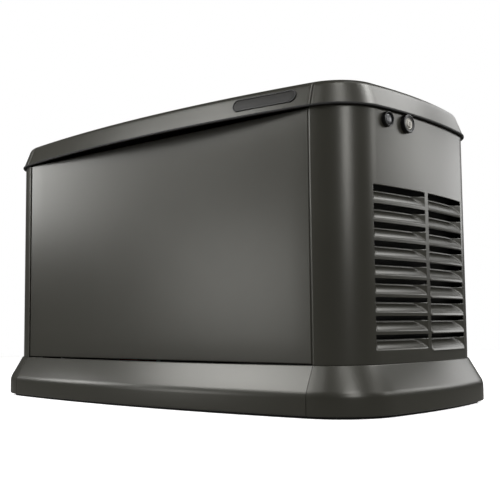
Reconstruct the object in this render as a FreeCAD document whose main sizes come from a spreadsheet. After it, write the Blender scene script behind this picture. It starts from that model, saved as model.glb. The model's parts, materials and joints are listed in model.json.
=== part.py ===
"""Home standby generator: a lidded, louvred cabinet on a flared skirt, with the set inside it.

Millimetres. +X runs along the cabinet towards the louvred end with the lock and lamp, -Y is the
front with the access panel, and +Z is up. The origin is the middle of the footprint on the ground.
"""
import FreeCAD, Part
import math
import os
import re

import Sketcher

V = FreeCAD.Vector
ALONG = {"X": FreeCAD.Rotation(V(0, 1, 0), 90), "Y": FreeCAD.Rotation(V(1, 0, 0), -90),
         "Z": FreeCAD.Rotation()}

doc = FreeCAD.newDocument("HomeStandbyGenerator")
sheet = doc.addObject("Spreadsheet::Sheet", "Sizes")
NODES = []

# ---------------------------------------------------------------- driving sizes
SIZES = {
    # cabinet outline: four tangent bows
    "half_length": 609, "half_width": 319, "bow_front": 3565, "bow_end": 1275, "corner_round": 121,
    "seam_place": 490, "seam_gap": 2, "wall_thick": 2, "wall_top": 652,
    # base
    "pad_out": 22, "pad_high": 30, "floor_thick": 4, "rim_top": 104, "sill_thick": 3, "sill_inset": 54,
    "skirt_out": 35.3, "skirt_low": 6, "skirt_shoulder": 49, "skirt_top": 105.7, "skirt_wall": 3,
    "skirt_seam": 494, "anchor_hole": 6.5, "anchor_reach_x": 250, "anchor_reach_y": 243,
    # lid
    "lid_low": 648.8, "lid_out": 6, "lid_lean": 20, "lid_fascia": 53, "lid_rim": 702, "lid_peak": 732,
    "lid_wall": 2, "roof_hip": 96, "roof_fall": 19.52, "roof_bow_y": 4500, "lid_edge_round": 9,
    "lid_seam": 498, "lid_seam_gap": 1,
    "plaque_long": 166, "plaque_high": 29, "plaque_thick": 3, "plaque_place": 378, "plaque_level": 677,
    # front access panel
    "panel_low": 107.5, "panel_top": 645, "panel_deep": 18, "panel_side_gap": 1.5, "panel_edge": 4,
    # louvres
    "louvre_first": 135, "louvre_pitch": 39.2, "louvre_high": 32, "louvre_rows": 9,
    "louvre_deep": 15, "louvre_slot": 11, "louvre_sheet": 2,
    "column_a_low": -200, "column_a_high": -13, "column_b_low": 1, "column_b_high": 182,
    # lock and lamp on the end
    "lock_place": 83, "lamp_place": 153, "fitting_level": 624, "lock_ring": 20.5, "lock_proud": 11,
    "lock_core": 13, "lamp_ring": 16, "lamp_proud": 10, "lamp_core": 12.5, "turn_gap": 0.3,
    "cam_long": 20, "cam_wide": 9, "cam_thick": 3, "lock_tail": 14,
    # inner frame
    "frame_low": 618, "frame_top": 646, "frame_bar": 75, "frame_front_bar": 30, "post_size": 25,
    "bulkhead_place": -372, "bulkhead_thick": 3, "bulkhead_top": 610, "baffle_in": 49, "baffle_thick": 8,
    "baffle_half": 212,
    "baffle_top": 570, "seal_high": 4, "seal_wide": 8, "seal_in": 16,
    # lid hinges
    "hinge_out": 11, "hinge_level": 646, "hinge_place": 350, "knuckle_radius": 7, "pin_radius": 3,
    "knuckle_long": 20, "leaf_tall": 40, "leaf_thick": 8,
    # engine
    "crank_level": 230, "crank_radius": 20, "case_left": -250, "case_right": -60, "case_radius": 110,
    "sump_half": 120, "sump_top": 150, "barrel_radius": 52, "barrel_start": 95, "barrel_end": 190,
    "fin_half": 62, "fin_thick": 3, "fin_pitch": 8.5, "head_end": 245, "head_half": 62, "rocker_end": 272,
    "plug_in": 31, "plug_up": 26, "plug_radius": 9, "plug_long": 36, "boot_radius": 11, "boot_long": 18,
    "bank_front": -177, "bank_rear": -127, "fan_radius": 128, "fan_left": -322, "fan_right": -268,
    "blower_radius": 148, "blower_left": -340, "blower_wall": 3,
    # alternator
    "can_left": -40, "can_right": 190, "can_radius": 125, "can_wall": 6, "core_radius": 86.5,
    "rotor_radius": 85, "pole_half": 58, "carrier_thick": 16, "shaft_right": 222,
    # cradle and mounts
    "rail_place": 112, "rail_wide": 30, "rail_low": 54, "rail_top": 74, "rail_left": -325,
    "rail_right": 225, "mount_radius": 20, "mount_left": -295, "mount_right": 195,
    # exhaust
    "muffler_place": -482, "muffler_radius": 68, "muffler_half": 195, "pipe_radius": 19,
    "flange_radius": 32, "stub_end": -398, "exhaust_wall": 3, "tail_radius": 22, "tail_out": 22,
    "leg_place": 130, "leg_wide": 40, "leg_thick": 6,
    # intake and oil
    "runner_radius": 16, "mixer_radius": 30, "airbox_low": 515, "airbox_high": 598, "airbox_top": 614,
    "airbox_left": 105, "airbox_right": 100, "airbox_front": -95, "airbox_rear": 85, "airbox_wall": 3,
    "cover_lip": 3, "mixer_high": 33, "fitting_out": 26, "hose_drop": 18,
    "filter_radius": 38, "filter_long": 88, "stick_x": -85, "stick_y": -127, "tube_top": 330,
    "tube_radius": 8, "tube_bore": 5, "stick_radius": 2, "starter_radius": 35, "starter_long": 125,
    # fuel
    "regulator_x": 150, "regulator_y": 210, "regulator_level": 400, "regulator_radius": 50,
    "regulator_thick": 34, "nose_radius": 24, "nose_out": 16, "spigot_radius": 14, "spigot_top": 456,
    "inlet_radius": 13, "inlet_out": 28, "inlet_wall": 4, "hose_radius": 11,
    # controls
    "box_left": 235, "box_right": 510, "box_back": -60, "box_front": -230, "box_low": 430,
    "box_slope_low": 500, "box_slope_run": 110, "box_wall": 2, "face_thick": 4, "face_margin": 8,
    "button_radius": 9, "button_gap": 0.4, "button_proud": 4, "button_deep": 9, "button_pitch": 34,
    "button_x": 305, "button_up": 34, "screen_in": 40, "screen_long": 120, "screen_low": 66,
    "screen_high": 126, "screen_deep": 1.5, "stand_thick": 3, "breaker_deep": 16,
    "breaker_x": 440, "breaker_wide": 52, "breaker_tall": 84, "breaker_proud": 14,
    "handle_wide": 16, "handle_long": 20, "handle_thick": 9, "handle_tilt": 25,
    # battery and conduit
    "screw_in": 14, "screw_radius": 6, "screw_proud": 3,
    "battery_left": 280, "battery_long": 208, "battery_wide": 172, "battery_high": 196,
    "battery_front": -252, "terminal_in": 30, "terminal_radius": 9, "terminal_high": 16,
    "hub_x": 330, "hub_level": 210, "hub_radius": 27,
}
for row, (alias, number) in enumerate(SIZES.items(), start=1):
    sheet.set(f"A{row}", alias)
    sheet.set(f"B{row}", str(number))
    sheet.setAlias(f"B{row}", alias)
doc.recompute()


def expr(text):
    """Turn the sheet names in a formula into references to the sheet."""
    return re.sub(r"\b[a-z]+(?:_[a-z0-9]+)+\b", r"Sizes.\g<0>", str(text))


def value(text):
    """Work a formula out now, as a plain number."""
    result = sheet.evalExpression(expr(text))
    return float(getattr(result, "Value", result))


def bind(thing, prop, text):
    """Drive a property with a formula."""
    thing.setExpression(prop, expr(text))


def new(kind, hint="shape"):
    """Add an object to the document."""
    return doc.addObject(kind, hint)


def node(label, thing):
    """Name a finished piece: its label is its file name."""
    thing.Label = label
    NODES.append(thing)
    return thing


# ---------------------------------------------------------------- primitives and booleans
def place(thing, at, turn=None, frame=None):
    """Put a primitive at a point given as formulas, in the world or in a local frame."""
    if frame is None:
        if turn is not None:
            thing.Placement = FreeCAD.Placement(V(), turn)
        for letter, text in zip("xyz", at):
            bind(thing, f"Placement.Base.{letter}", text)
        return thing
    local = FreeCAD.Placement(V(*[value(text) for text in at]), turn or FreeCAD.Rotation())
    thing.Placement = frame.multiply(local)
    return thing


def box(x, y, z, frame=None):
    """Box from (low, high) pairs of formulas."""
    thing = new("Part::Box", "block")
    for prop, (low, high) in zip(("Length", "Width", "Height"), (x, y, z)):
        bind(thing, prop, f"({high}) - ({low})")
    return place(thing, (x[0], y[0], z[0]), frame=frame)


def rod(at, axis, radius, length, frame=None):
    """Cylinder that starts at a point and runs along an axis."""
    thing = new("Part::Cylinder", "rod")
    bind(thing, "Radius", radius)
    bind(thing, "Height", length)
    return place(thing, at, ALONG[axis], frame)


def ring(at, axis, outer, inner, length, frame=None):
    """Tube between two radii."""
    return cut(rod(at, axis, outer, length, frame), rod(at, axis, inner, length, frame))


def cut(base, *tools):
    """Take one or more tools away from a shape."""
    for tool in tools:
        result = new("Part::Cut", "cut")
        result.Base = base
        result.Tool = tool
        base = result
    return base


def fuse(*parts):
    result = new("Part::MultiFuse", "fuse")
    result.Shapes = list(parts)
    result.Refine = True
    return result


def common(first, second):
    result = new("Part::MultiCommon", "common")
    result.Shapes = [first, second]
    return result


def group(*parts):
    """Several identical loose pieces that share one node."""
    result = new("Part::Compound", "group")
    result.Links = list(parts)
    return result


# ---------------------------------------------------------------- sketches and features
def body(hint):
    return new("PartDesign::Body", hint)


def sketch(owner, role, level, across="0", up="0"):
    """Empty sketch on one of the body's origin planes, moved by three formulas."""
    result = owner.newObject("Sketcher::SketchObject", "sketch")
    plane = [item for item in owner.Origin.OriginFeatures if item.Role == role][0]
    result.AttachmentSupport = [(plane, "")]
    result.MapMode = "FlatFace"
    for letter, text in zip("xyz", (across, up, level)):
        bind(result, f"AttachmentOffset.Base.{letter}", text)
    return result


def dimension(target, kind, where, text):
    """Add a sketch dimension driven by a formula."""
    index = target.addConstraint(Sketcher.Constraint(kind, *where, value(text)))
    bind(target, f"Constraints[{index}]", text)


def rectangle(owner, role, level, across, up):
    """Rectangle sketch from (low, high) pairs of formulas on an origin plane."""
    result = sketch(owner, role, level, across[0], up[0])
    wide, high = f"({across[1]}) - ({across[0]})", f"({up[1]}) - ({up[0]})"
    corners = [V(0, 0, 0), V(value(wide), 0, 0), V(value(wide), value(high), 0), V(0, value(high), 0)]
    sides = [result.addGeometry(Part.LineSegment(corners[i], corners[(i + 1) % 4]), False) for i in range(4)]
    for i in range(4):
        result.addConstraint(Sketcher.Constraint("Coincident", sides[i], 2, sides[(i + 1) % 4], 1))
        result.addConstraint(Sketcher.Constraint("Vertical" if i % 2 else "Horizontal", sides[i]))
    result.addConstraint(Sketcher.Constraint("Coincident", sides[0], 1, -1, 1))
    dimension(result, "DistanceX", (sides[0], 1, sides[0], 2), wide)
    dimension(result, "DistanceY", (sides[1], 1, sides[1], 2), high)
    return result


def outline(owner, level, grow):
    """The cabinet's plan, grown outwards: bowed sides and ends joined by tangent corners."""
    result = sketch(owner, "XY_Plane", level)
    half_x, half_y = value(f"half_length + ({grow})"), value(f"half_width + ({grow})")
    side_r, end_r = value(f"bow_front + ({grow})"), value(f"bow_end + ({grow})")
    corner_r = value(f"corner_round + ({grow})")
    side_mid, end_mid = V(0, side_r - half_y, 0), V(half_x - end_r, 0, 0)
    apart = (end_mid - side_mid).Length
    toward = (end_mid - side_mid).normalize()
    reach = ((side_r - corner_r) ** 2 - (end_r - corner_r) ** 2 + apart ** 2) / (2 * apart)
    offset = math.sqrt((side_r - corner_r) ** 2 - reach ** 2)
    corner_mid = side_mid + toward * reach + V(-toward.y, toward.x, 0) * offset
    on_side = side_mid + (corner_mid - side_mid).normalize() * side_r
    on_end = end_mid + (corner_mid - end_mid).normalize() * end_r

    def flip(point, x, y):
        return V(point.x * x, point.y * y, 0)

    def arc(middle, radius, start, stop):
        first = math.atan2(start.y - middle.y, start.x - middle.x)
        last = math.atan2(stop.y - middle.y, stop.x - middle.x)
        last += 2 * math.pi if last < first else 0
        circle = Part.Circle(middle, V(0, 0, 1), radius)
        return result.addGeometry(Part.ArcOfCircle(circle, first, last), False)

    arcs = [arc(side_mid, side_r, flip(on_side, -1, 1), on_side),
            arc(corner_mid, corner_r, on_side, on_end),
            arc(end_mid, end_r, on_end, flip(on_end, 1, -1)),
            arc(flip(corner_mid, 1, -1), corner_r, flip(on_end, 1, -1), flip(on_side, 1, -1)),
            arc(flip(side_mid, 1, -1), side_r, flip(on_side, 1, -1), flip(on_side, -1, -1)),
            arc(flip(corner_mid, -1, -1), corner_r, flip(on_side, -1, -1), flip(on_end, -1, -1)),
            arc(flip(end_mid, -1, 1), end_r, flip(on_end, -1, -1), flip(on_end, -1, 1)),
            arc(flip(corner_mid, -1, 1), corner_r, flip(on_end, -1, 1), flip(on_side, -1, 1))]
    for i in range(8):
        result.addConstraint(Sketcher.Constraint("Tangent", arcs[i], 2, arcs[(i + 1) % 8], 1))
    for i in (0, 4):
        result.addConstraint(Sketcher.Constraint("PointOnObject", arcs[i], 3, -2))
    for i in (2, 6):
        result.addConstraint(Sketcher.Constraint("PointOnObject", arcs[i], 3, -1))
    for first, second in ((1, 3), (1, 5), (1, 7), (0, 4), (2, 6)):
        result.addConstraint(Sketcher.Constraint("Equal", arcs[first], arcs[second]))
    dimension(result, "Radius", (arcs[1],), f"corner_round + ({grow})")
    dimension(result, "Radius", (arcs[0],), f"bow_front + ({grow})")
    dimension(result, "Radius", (arcs[2],), f"bow_end + ({grow})")
    dimension(result, "DistanceY", (-1, 1, arcs[0], 3), "bow_front - half_width")
    dimension(result, "DistanceY", (arcs[4], 3, -1, 1), "bow_front - half_width")
    dimension(result, "DistanceX", (arcs[2], 3, -1, 1), "bow_end - half_length")
    dimension(result, "DistanceX", (-1, 1, arcs[6], 3), "bow_end - half_length")
    return result


def polygon(owner, role, level, points):
    """Closed sketch through points given as pairs of formulas."""
    result = sketch(owner, role, level)
    spots = [V(value(across), value(up), 0) for across, up in points]
    count = len(spots)
    sides = [result.addGeometry(Part.LineSegment(spots[i], spots[(i + 1) % count]), False)
             for i in range(count)]
    for i, (across, up) in enumerate(points):
        result.addConstraint(Sketcher.Constraint("Coincident", sides[i - 1], 2, sides[i], 1))
        dimension(result, "DistanceX", (-1, 1, sides[i], 1), across)
        dimension(result, "DistanceY", (-1, 1, sides[i], 1), up)
    return result


def pad(profile, length):
    """Extrude a sketch in its own body, and give the body back."""
    owner = profile.getParentGeoFeatureGroup()
    result = owner.newObject("PartDesign::Pad", "pad")
    result.Profile = profile
    bind(result, "Length", length)
    return owner


def pocket(profile, length):
    """Cut a sketch's shape into its own body, downwards from the sketch."""
    owner = profile.getParentGeoFeatureGroup()
    result = owner.newObject("PartDesign::Pocket", "pocket")
    result.Profile = profile
    bind(result, "Length", length)
    return owner


def loft(first, second, kind="PartDesign::AdditiveLoft"):
    """Straight-sided loft between two sketches of one body."""
    owner = first.getParentGeoFeatureGroup()
    result = owner.newObject(kind, "loft")
    result.Profile = first
    result.Sections = [second]
    result.Ruled = True
    return owner


def column(low, high, grow):
    """Solid block with the grown cabinet outline between two levels."""
    return pad(outline(body("column"), low, grow), f"({high}) - ({low})")


# ---------------------------------------------------------------- base
EVERYWHERE = "(half_length + 3 * skirt_out)"
FLOOR = "pad_high + floor_thick"
tray = body("BaseFrame")
pad(outline(tray, "pad_high", "skirt_out - skirt_wall"), "floor_thick")
pad(outline(tray, FLOOR, "0"), f"rim_top - ({FLOOR})")
pocket(outline(tray, "rim_top - sill_thick", "-wall_thick"), f"rim_top - sill_thick - ({FLOOR})")
pocket(rectangle(tray, "XY_Plane", "rim_top", ("sill_inset - half_length", "half_length - sill_inset"),
                 ("sill_inset - half_width", "half_width - sill_inset")), "sill_thick")
anchor_holes = [rod((f"{sx} * anchor_reach_x", f"{sy} * anchor_reach_y", "-1"), "Z", "anchor_hole",
                    f"{FLOOR} + 2") for sx in (-1, 1) for sy in (-1, 1)]
node("mounting_pad", cut(pad(outline(body("MountingPad"), "0", "pad_out"), "pad_high"), *anchor_holes))
node("base_frame", cut(tray, *anchor_holes))

skirt = body("SkirtForm")
SKIRT_LIP = "skirt_wall"
pad(outline(skirt, "skirt_low", "skirt_out"), "skirt_shoulder - skirt_low")
loft(outline(skirt, "skirt_shoulder", "skirt_out"), outline(skirt, "skirt_top", SKIRT_LIP))
pocket(outline(skirt, "skirt_shoulder", "skirt_out - skirt_wall"), "skirt_shoulder - skirt_low")
loft(outline(skirt, "skirt_shoulder", "skirt_out - skirt_wall"),
     outline(skirt, "skirt_top", f"{SKIRT_LIP} - skirt_wall"), "PartDesign::SubtractiveLoft")
SKIRT_TALL = ("0", "skirt_top + 5")
SKIRT_SPAN = ("seam_gap / 4 - skirt_seam", "skirt_seam - seam_gap / 4")
node("skirt_front", common(skirt, box(SKIRT_SPAN, (f"-{EVERYWHERE}", "0"), SKIRT_TALL)))
node("skirt_rear", common(skirt, box(SKIRT_SPAN, ("0", EVERYWHERE), SKIRT_TALL)))
node("skirt_left_end", common(skirt, box((f"-{EVERYWHERE}", "-skirt_seam - seam_gap / 4"),
                                         (f"-{EVERYWHERE}", EVERYWHERE), SKIRT_TALL)))
node("skirt_right_end", common(skirt, box(("skirt_seam + seam_gap / 4", EVERYWHERE),
                                          (f"-{EVERYWHERE}", EVERYWHERE), SKIRT_TALL)))

# ---------------------------------------------------------------- cabinet walls
walls = body("WallForm")
pad(outline(walls, "rim_top", "0"), "wall_top - rim_top")
pocket(outline(walls, "wall_top", "-wall_thick"), "wall_top - rim_top")
WALL_TALL = ("rim_top - 1", "wall_top + 1")
END_MID = "half_length - bow_end"


def end_frame(side, shift):
    """Frame on the bowed end wall: local +X is the outward normal at a distance along the wall."""
    angle = math.degrees(math.asin(value(f"({shift}) / bow_end")))
    turn = FreeCAD.Rotation(V(0, 0, 1), angle if side > 0 else 180 - angle)
    return FreeCAD.Placement(V(side * value(END_MID), 0, 0), turn)


def louvre_column(side, low, high):
    """Windows and slats of one column: a slat's section turned about the bow's middle."""
    middle = f"(({low}) + ({high})) / 2"
    swing = math.degrees(math.asin(value(f"({high}) / bow_end")) - math.asin(value(f"({low}) / bow_end")))
    slat_points = [("bow_end", "louvre_first"), ("bow_end", "louvre_first + louvre_sheet"),
                   ("bow_end - louvre_deep", "louvre_first + louvre_high - louvre_slot + louvre_sheet"),
                   ("bow_end - louvre_deep", "louvre_first + louvre_high - louvre_slot"),
                   ("bow_end - wall_thick", "louvre_first")]
    window_points = [("bow_end - 2 * wall_thick", "louvre_first"), ("bow_end + wall_thick", "louvre_first"),
                     ("bow_end + wall_thick", "louvre_first + louvre_high"),
                     ("bow_end - 2 * wall_thick", "louvre_first + louvre_high")]
    made = []
    for points, arc in ((slat_points, swing), (window_points, swing)):
        owner = body("Louvre")
        profile = polygon(owner, "XZ_Plane", "0", points)
        spin = owner.newObject("PartDesign::Revolution", "turned")
        spin.Profile = profile
        spin.ReferenceAxis = (profile, ["V_Axis"])
        spin.Midplane = True
        spin.Angle = arc
        rows = owner.newObject("PartDesign::LinearPattern", "rows")
        rows.Originals = [spin]
        rows.Direction = (profile, ["V_Axis"])
        bind(rows, "Length", "(louvre_rows - 1) * louvre_pitch")
        bind(rows, "Occurrences", "louvre_rows")
        owner.Tip = rows
        owner.Placement = end_frame(side, middle)
        made.append(owner)
    return made


def end_panel(side):
    """End wall that wraps both corners, with two columns of louvres and holes for its fittings."""
    near, far = "seam_place + seam_gap / 2", EVERYWHERE
    span = (near, far) if side > 0 else (f"-{far}", f"-({near})")
    panel = common(walls, box(span, (f"-{EVERYWHERE}", EVERYWHERE), WALL_TALL))
    columns = [louvre_column(side, "column_a_low", "column_a_high"),
               louvre_column(side, "column_b_low", "column_b_high")]
    panel = cut(panel, *[windows for slats, windows in columns])
    holes = [rod(("bow_end - 50", "0", "fitting_level"), "X", "lock_core + turn_gap", "100",
                 end_frame(side, "-lock_place"))]
    if side > 0:
        holes.append(rod(("bow_end - 50", "0", "fitting_level"), "X", "lamp_core", "100",
                         end_frame(side, "-lamp_place")))
    return fuse(cut(panel, *holes), *[slats for slats, windows in columns])


node("right_end_panel", end_panel(1))
node("left_end_panel", end_panel(-1))

HUB_HOLE = rod(("hub_x", "0", "hub_level"), "Y", "hub_radius - 5", "half_width + 50")
INLET_HOLE = rod(("regulator_x", "0", "regulator_level"), "Y", "inlet_radius + 1", "half_width + 50")
node("rear_panel", cut(common(walls, box(("seam_gap / 2 - seam_place", "seam_place - seam_gap / 2"),
                                         ("0", EVERYWHERE), WALL_TALL)), HUB_HOLE, INLET_HOLE))

PANEL_FACE = "bow_front - half_width - sqrt(bow_front ^ 2 - seam_place ^ 2)"
PANEL_SIDE = "seam_place + seam_gap / 2 - panel_side_gap"
front = body("FrontPanel")
pad(rectangle(front, "XZ_Plane", f"-({PANEL_FACE}) - panel_deep", (f"-({PANEL_SIDE})", PANEL_SIDE),
              ("panel_low", "panel_top")), "panel_deep")
doc.recompute()
block = front.Tip
rounding = front.newObject("PartDesign::Fillet", "edge_rounding")
rounding.Base = (block, [f"Edge{i + 1}" for i, edge in enumerate(front.Shape.Edges)
                             if abs(edge.CenterOfMass.y - value(PANEL_FACE)) < 0.01])
bind(rounding, "Radius", "panel_edge")
hollow = rectangle(front, "XZ_Plane", f"-({PANEL_FACE}) - panel_deep",
                   (f"wall_thick - ({PANEL_SIDE})", f"{PANEL_SIDE} - wall_thick"),
                   ("panel_low + wall_thick", "panel_top - wall_thick"))
carve = front.newObject("PartDesign::Pocket", "pocket")
carve.Profile = hollow
carve.Reversed = True
bind(carve, "Length", "panel_deep - wall_thick")
node("front_panel", front)

# ---------------------------------------------------------------- inner frame
FRAME_FRONT = f"{PANEL_FACE} + panel_deep + 3"
header = body("TopFrame")
pad(outline(header, "frame_low", "-wall_thick"), "frame_top - frame_low")
pocket(rectangle(header, "XY_Plane", "frame_top", ("frame_bar - half_length", "half_length - frame_bar"),
                 (f"{FRAME_FRONT} + frame_front_bar", "half_width - frame_bar")),
       "frame_top - frame_low")
pocket(rectangle(header, "XY_Plane", "frame_top", ("-seam_place", "seam_place"),
                 (f"-{EVERYWHERE}", FRAME_FRONT)), "frame_top - frame_low")
lock_ways = [rod(("bow_end - wall_thick - lock_tail - 12", "0", "fitting_level"), "X", "cam_long + 4",
                 "lock_tail + 12", end_frame(side, "-lock_place")) for side in (-1, 1)]
lamp_way = rod(("bow_end - wall_thick - 14", "0", "fitting_level"), "X", "lamp_core + 1", "14",
               end_frame(1, "-lamp_place"))
node("top_frame", cut(header, *lock_ways, lamp_way))

POST_X = "half_length - sill_inset - post_size"
POST_Y = "half_width - sill_inset - post_size - 7"
posts = []
for sx in (-1, 1):
    for sy in (-1, 1):
        at_x, at_y = f"{sx} * ({POST_X}) - post_size / 2", f"{sy} * ({POST_Y}) - post_size / 2"
        posts.append(box((at_x, f"{at_x} + post_size"), (at_y, f"{at_y} + post_size"),
                         (FLOOR, "frame_low")))
node("corner_posts", group(*posts))

bulkhead = body("Bulkhead")
pad(rectangle(bulkhead, "YZ_Plane", "bulkhead_place", ("sill_inset - half_width", "half_width - sill_inset"),
              (FLOOR, "bulkhead_top")), "bulkhead_thick")
pocket(rectangle(bulkhead, "YZ_Plane", "bulkhead_place + bulkhead_thick", ("-100", "100"),
                 ("crank_level - 110", "crank_level + 90")), "bulkhead_thick")
EXHAUST_ARM = "(barrel_end + head_end) / 2 * sqrt(0.5)"
pipe_holes = [rod(("bulkhead_place - 20", f"{sy} * ({EXHAUST_ARM})", f"crank_level + {EXHAUST_ARM}"), "X",
                  "pipe_radius + 4", "50") for sy in (-1, 1)]
node("divider_panel", cut(bulkhead, *pipe_holes))
node("intake_baffle", box(("half_length - baffle_in", "half_length - baffle_in + baffle_thick"),
                          ("-baffle_half", "baffle_half"), ("rim_top", "baffle_top")))
seal_ring = cut(column("frame_top", "frame_top + seal_high", "-seal_in"),
                column("frame_top - 1", "frame_top + seal_high + 1", "-seal_in - seal_wide"),
                box(("-seam_place", "seam_place"), (f"-{EVERYWHERE}", "0"), ("frame_low", "lid_low + 10")))
node("lid_seal", fuse(seal_ring, box(("-seam_place - 4", "seam_place + 4"),
                                     (f"{FRAME_FRONT} + 1", f"{FRAME_FRONT} + 1 + seal_wide"),
                                     ("frame_top", "frame_top + seal_high"))))

# ---------------------------------------------------------------- lid
# the roof's long bow follows from how far it falls at the cabinet's ends
ROOF_BOW_X = "half_length * half_length / (2 * roof_fall)"


def lid_form(shrink, low):
    """Leaning fascia up to a level rim, then a hipped margin under a roof that bows both ways.

    shrink sets the shape in from outside.
    """
    owner = body("LidForm")
    rim = f"lid_rim - ({shrink})"
    rim_grow = f"lid_out - ({shrink}) - lid_lean * (({rim}) - ({low})) / lid_fascia"
    loft(outline(owner, low, f"lid_out - ({shrink})"), outline(owner, rim, rim_grow))
    loft(outline(owner, rim, rim_grow), outline(owner, f"lid_peak - ({shrink})", f"{rim_grow} - roof_hip"))
    dome = new("Part::Torus", "roof")
    bind(dome, "Radius1", f"{ROOF_BOW_X} - roof_bow_y")
    bind(dome, "Radius2", f"roof_bow_y - ({shrink})")
    place(dome, ("0", "0", f"lid_peak - {ROOF_BOW_X}"), FreeCAD.Rotation(V(1, 0, 0), 90))
    return common(owner, dome)


lid_outer = lid_form("0", "lid_low")
doc.recompute()
lid_rounded = new("Part::Fillet", "lid_rounded")
lid_rounded.Base = lid_outer
lid_rounded.Edges = [(i + 1, value("lid_edge_round"), value("lid_edge_round"))
                     for i, edge in enumerate(lid_outer.Shape.Edges)
                     if abs(edge.BoundBox.ZMin - value("lid_rim")) + edge.BoundBox.ZLength < 0.01]
lid_shell = cut(lid_rounded, lid_form("lid_wall", "lid_low"))
LID_TALL = ("lid_low - 5", "lid_peak + 5")
LID_WIDE = (f"-{EVERYWHERE}", EVERYWHERE)
CAP_EDGE = "lid_seam + lid_seam_gap / 2"
roof_span = ("lid_seam_gap / 2 - lid_seam", "lid_seam - lid_seam_gap / 2")
lap_span = ("lid_seam - 30", "lid_seam + 12")
lap_outer, lap_inner = lid_form("lid_wall", "lid_low"), lid_form("2 * lid_wall", "lid_low")
lap = cut(lap_outer, lap_inner)


def lap_strip(side):
    """Strip under the roof that the end cap is riveted to."""
    low, high = lap_span if side > 0 else (f"-({lap_span[1]})", f"-({lap_span[0]})")
    return common(lap, box((low, high), LID_WIDE, LID_TALL))


node("lid_roof", common(lid_shell, box(roof_span, LID_WIDE, LID_TALL)))
node("lid_end_cap_right", fuse(common(lid_shell, box((CAP_EDGE, EVERYWHERE), LID_WIDE, LID_TALL)),
                               lap_strip(1)))
node("lid_end_cap_left", fuse(common(lid_shell, box((f"-{EVERYWHERE}", f"-({CAP_EDGE})"), LID_WIDE,
                                                    LID_TALL)), lap_strip(-1)))

# The plaque lies on the leaning fascia, turned with the bow of the front.
lean_angle = math.degrees(math.atan(value("lid_lean / lid_fascia")))
plaque_turn = math.degrees(math.asin(value("plaque_place / bow_front")))
plaque_grow = "lid_out - lid_lean * (plaque_level - lid_low) / lid_fascia"
plaque_at = V(value("plaque_place"),
              value(f"bow_front - half_width - sqrt((bow_front + {plaque_grow}) ^ 2 - plaque_place ^ 2)"),
              value("plaque_level"))
plaque_frame = FreeCAD.Placement(plaque_at, FreeCAD.Rotation(V(0, 0, 1), plaque_turn).multiply(
    FreeCAD.Rotation(V(1, 0, 0), -lean_angle)))
HALF_PLAQUE = "(plaque_long - plaque_high) / 2"
plaque = fuse(box((f"-{HALF_PLAQUE}", HALF_PLAQUE), ("-plaque_thick", "4"),
                  ("-plaque_high / 2", "plaque_high / 2"), plaque_frame),
              *[rod((f"{sx} * {HALF_PLAQUE}", "-plaque_thick", "0"), "Y", "plaque_high / 2",
                    "plaque_thick + 4", plaque_frame) for sx in (-1, 1)])
node("lid_badge", cut(plaque, lid_rounded))

# ---------------------------------------------------------------- lid hinges
HINGE_Y = "half_width + hinge_out"
cabinet_block = column("0", "hinge_level + 40", "0")
leaf_block = column("0", "hinge_level", "leaf_thick / 2")
frame_leaves, lid_leaves, pins = [], [], []
for side in (-1, 1):
    mid = f"{side} * hinge_place"
    edge = f"({mid}) - knuckle_long * 1.5"
    bore = rod((f"({edge}) - 1", HINGE_Y, "hinge_level"), "X", "pin_radius", "knuckle_long * 3 + 2")
    wide_bore = rod((f"({edge}) - 1", HINGE_Y, "hinge_level"), "X", "pin_radius + turn_gap",
                    "knuckle_long * 3 + 2")
    plate = box((edge, f"({edge}) + knuckle_long * 3"), (f"{HINGE_Y} - 45", f"{HINGE_Y} + knuckle_radius"),
                ("hinge_level - leaf_tall", "hinge_level - knuckle_radius"))
    outer = [rod((f"({edge}) + {k} * knuckle_long", HINGE_Y, "hinge_level"), "X", "knuckle_radius",
                 "knuckle_long - 0.5") for k in (0, 2)]
    necks = [box((f"({edge}) + {k} * knuckle_long", f"({edge}) + {k + 1} * knuckle_long - 0.5"),
                 (f"{HINGE_Y} - 45", f"{HINGE_Y} + knuckle_radius"),
                 ("hinge_level - knuckle_radius - 6", "hinge_level")) for k in (0, 2)]
    leaf = common(plate, leaf_block)
    frame_leaves.append(cut(fuse(leaf, *outer, *necks), cabinet_block, bore))
    centre = f"({edge}) + knuckle_long"
    barrel = rod((centre, HINGE_Y, "hinge_level"), "X", "knuckle_radius", "knuckle_long - 0.5")
    arm = box((centre, f"({centre}) + knuckle_long - 0.5"), (f"{HINGE_Y} - 50", HINGE_Y),
              ("lid_low + 2", "lid_low + 2 + leaf_thick"))
    lid_leaves.append(cut(fuse(barrel, cut(arm, lid_rounded)), wide_bore))
    pins.append(rod((f"({edge}) - 3", HINGE_Y, "hinge_level"), "X", "pin_radius", "knuckle_long * 3 + 6"))
node("hinge_frame_leaves", group(*frame_leaves))
node("hinge_lid_leaves", group(*lid_leaves))
node("hinge_pins", group(*pins))

# ---------------------------------------------------------------- locks and lamp


def lock_parts(side):
    """Ring that clamps on the end wall, and the keyed barrel with its cam that turns in it."""
    frame = end_frame(side, "-lock_place")
    bezel = ring(("bow_end", "0", "fitting_level"), "X", "lock_ring", "lock_core + turn_gap", "lock_proud",
                 frame)
    barrel = rod(("bow_end - wall_thick - lock_tail", "0", "fitting_level"), "X", "lock_core",
                 "wall_thick + lock_tail + lock_proud", frame)
    keyway = box(("bow_end + lock_proud - 4", "bow_end + lock_proud + 1"), ("-1.2", "1.2"),
                 ("fitting_level - 5", "fitting_level + 5"), frame)
    cam = box(("bow_end - wall_thick - lock_tail - cam_thick", "bow_end - wall_thick - lock_tail"),
              ("-cam_wide / 2", "cam_long"),
              ("fitting_level - cam_wide / 2", "fitting_level + cam_wide / 2"), frame)
    return bezel, fuse(cut(barrel, keyway), cam)


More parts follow.
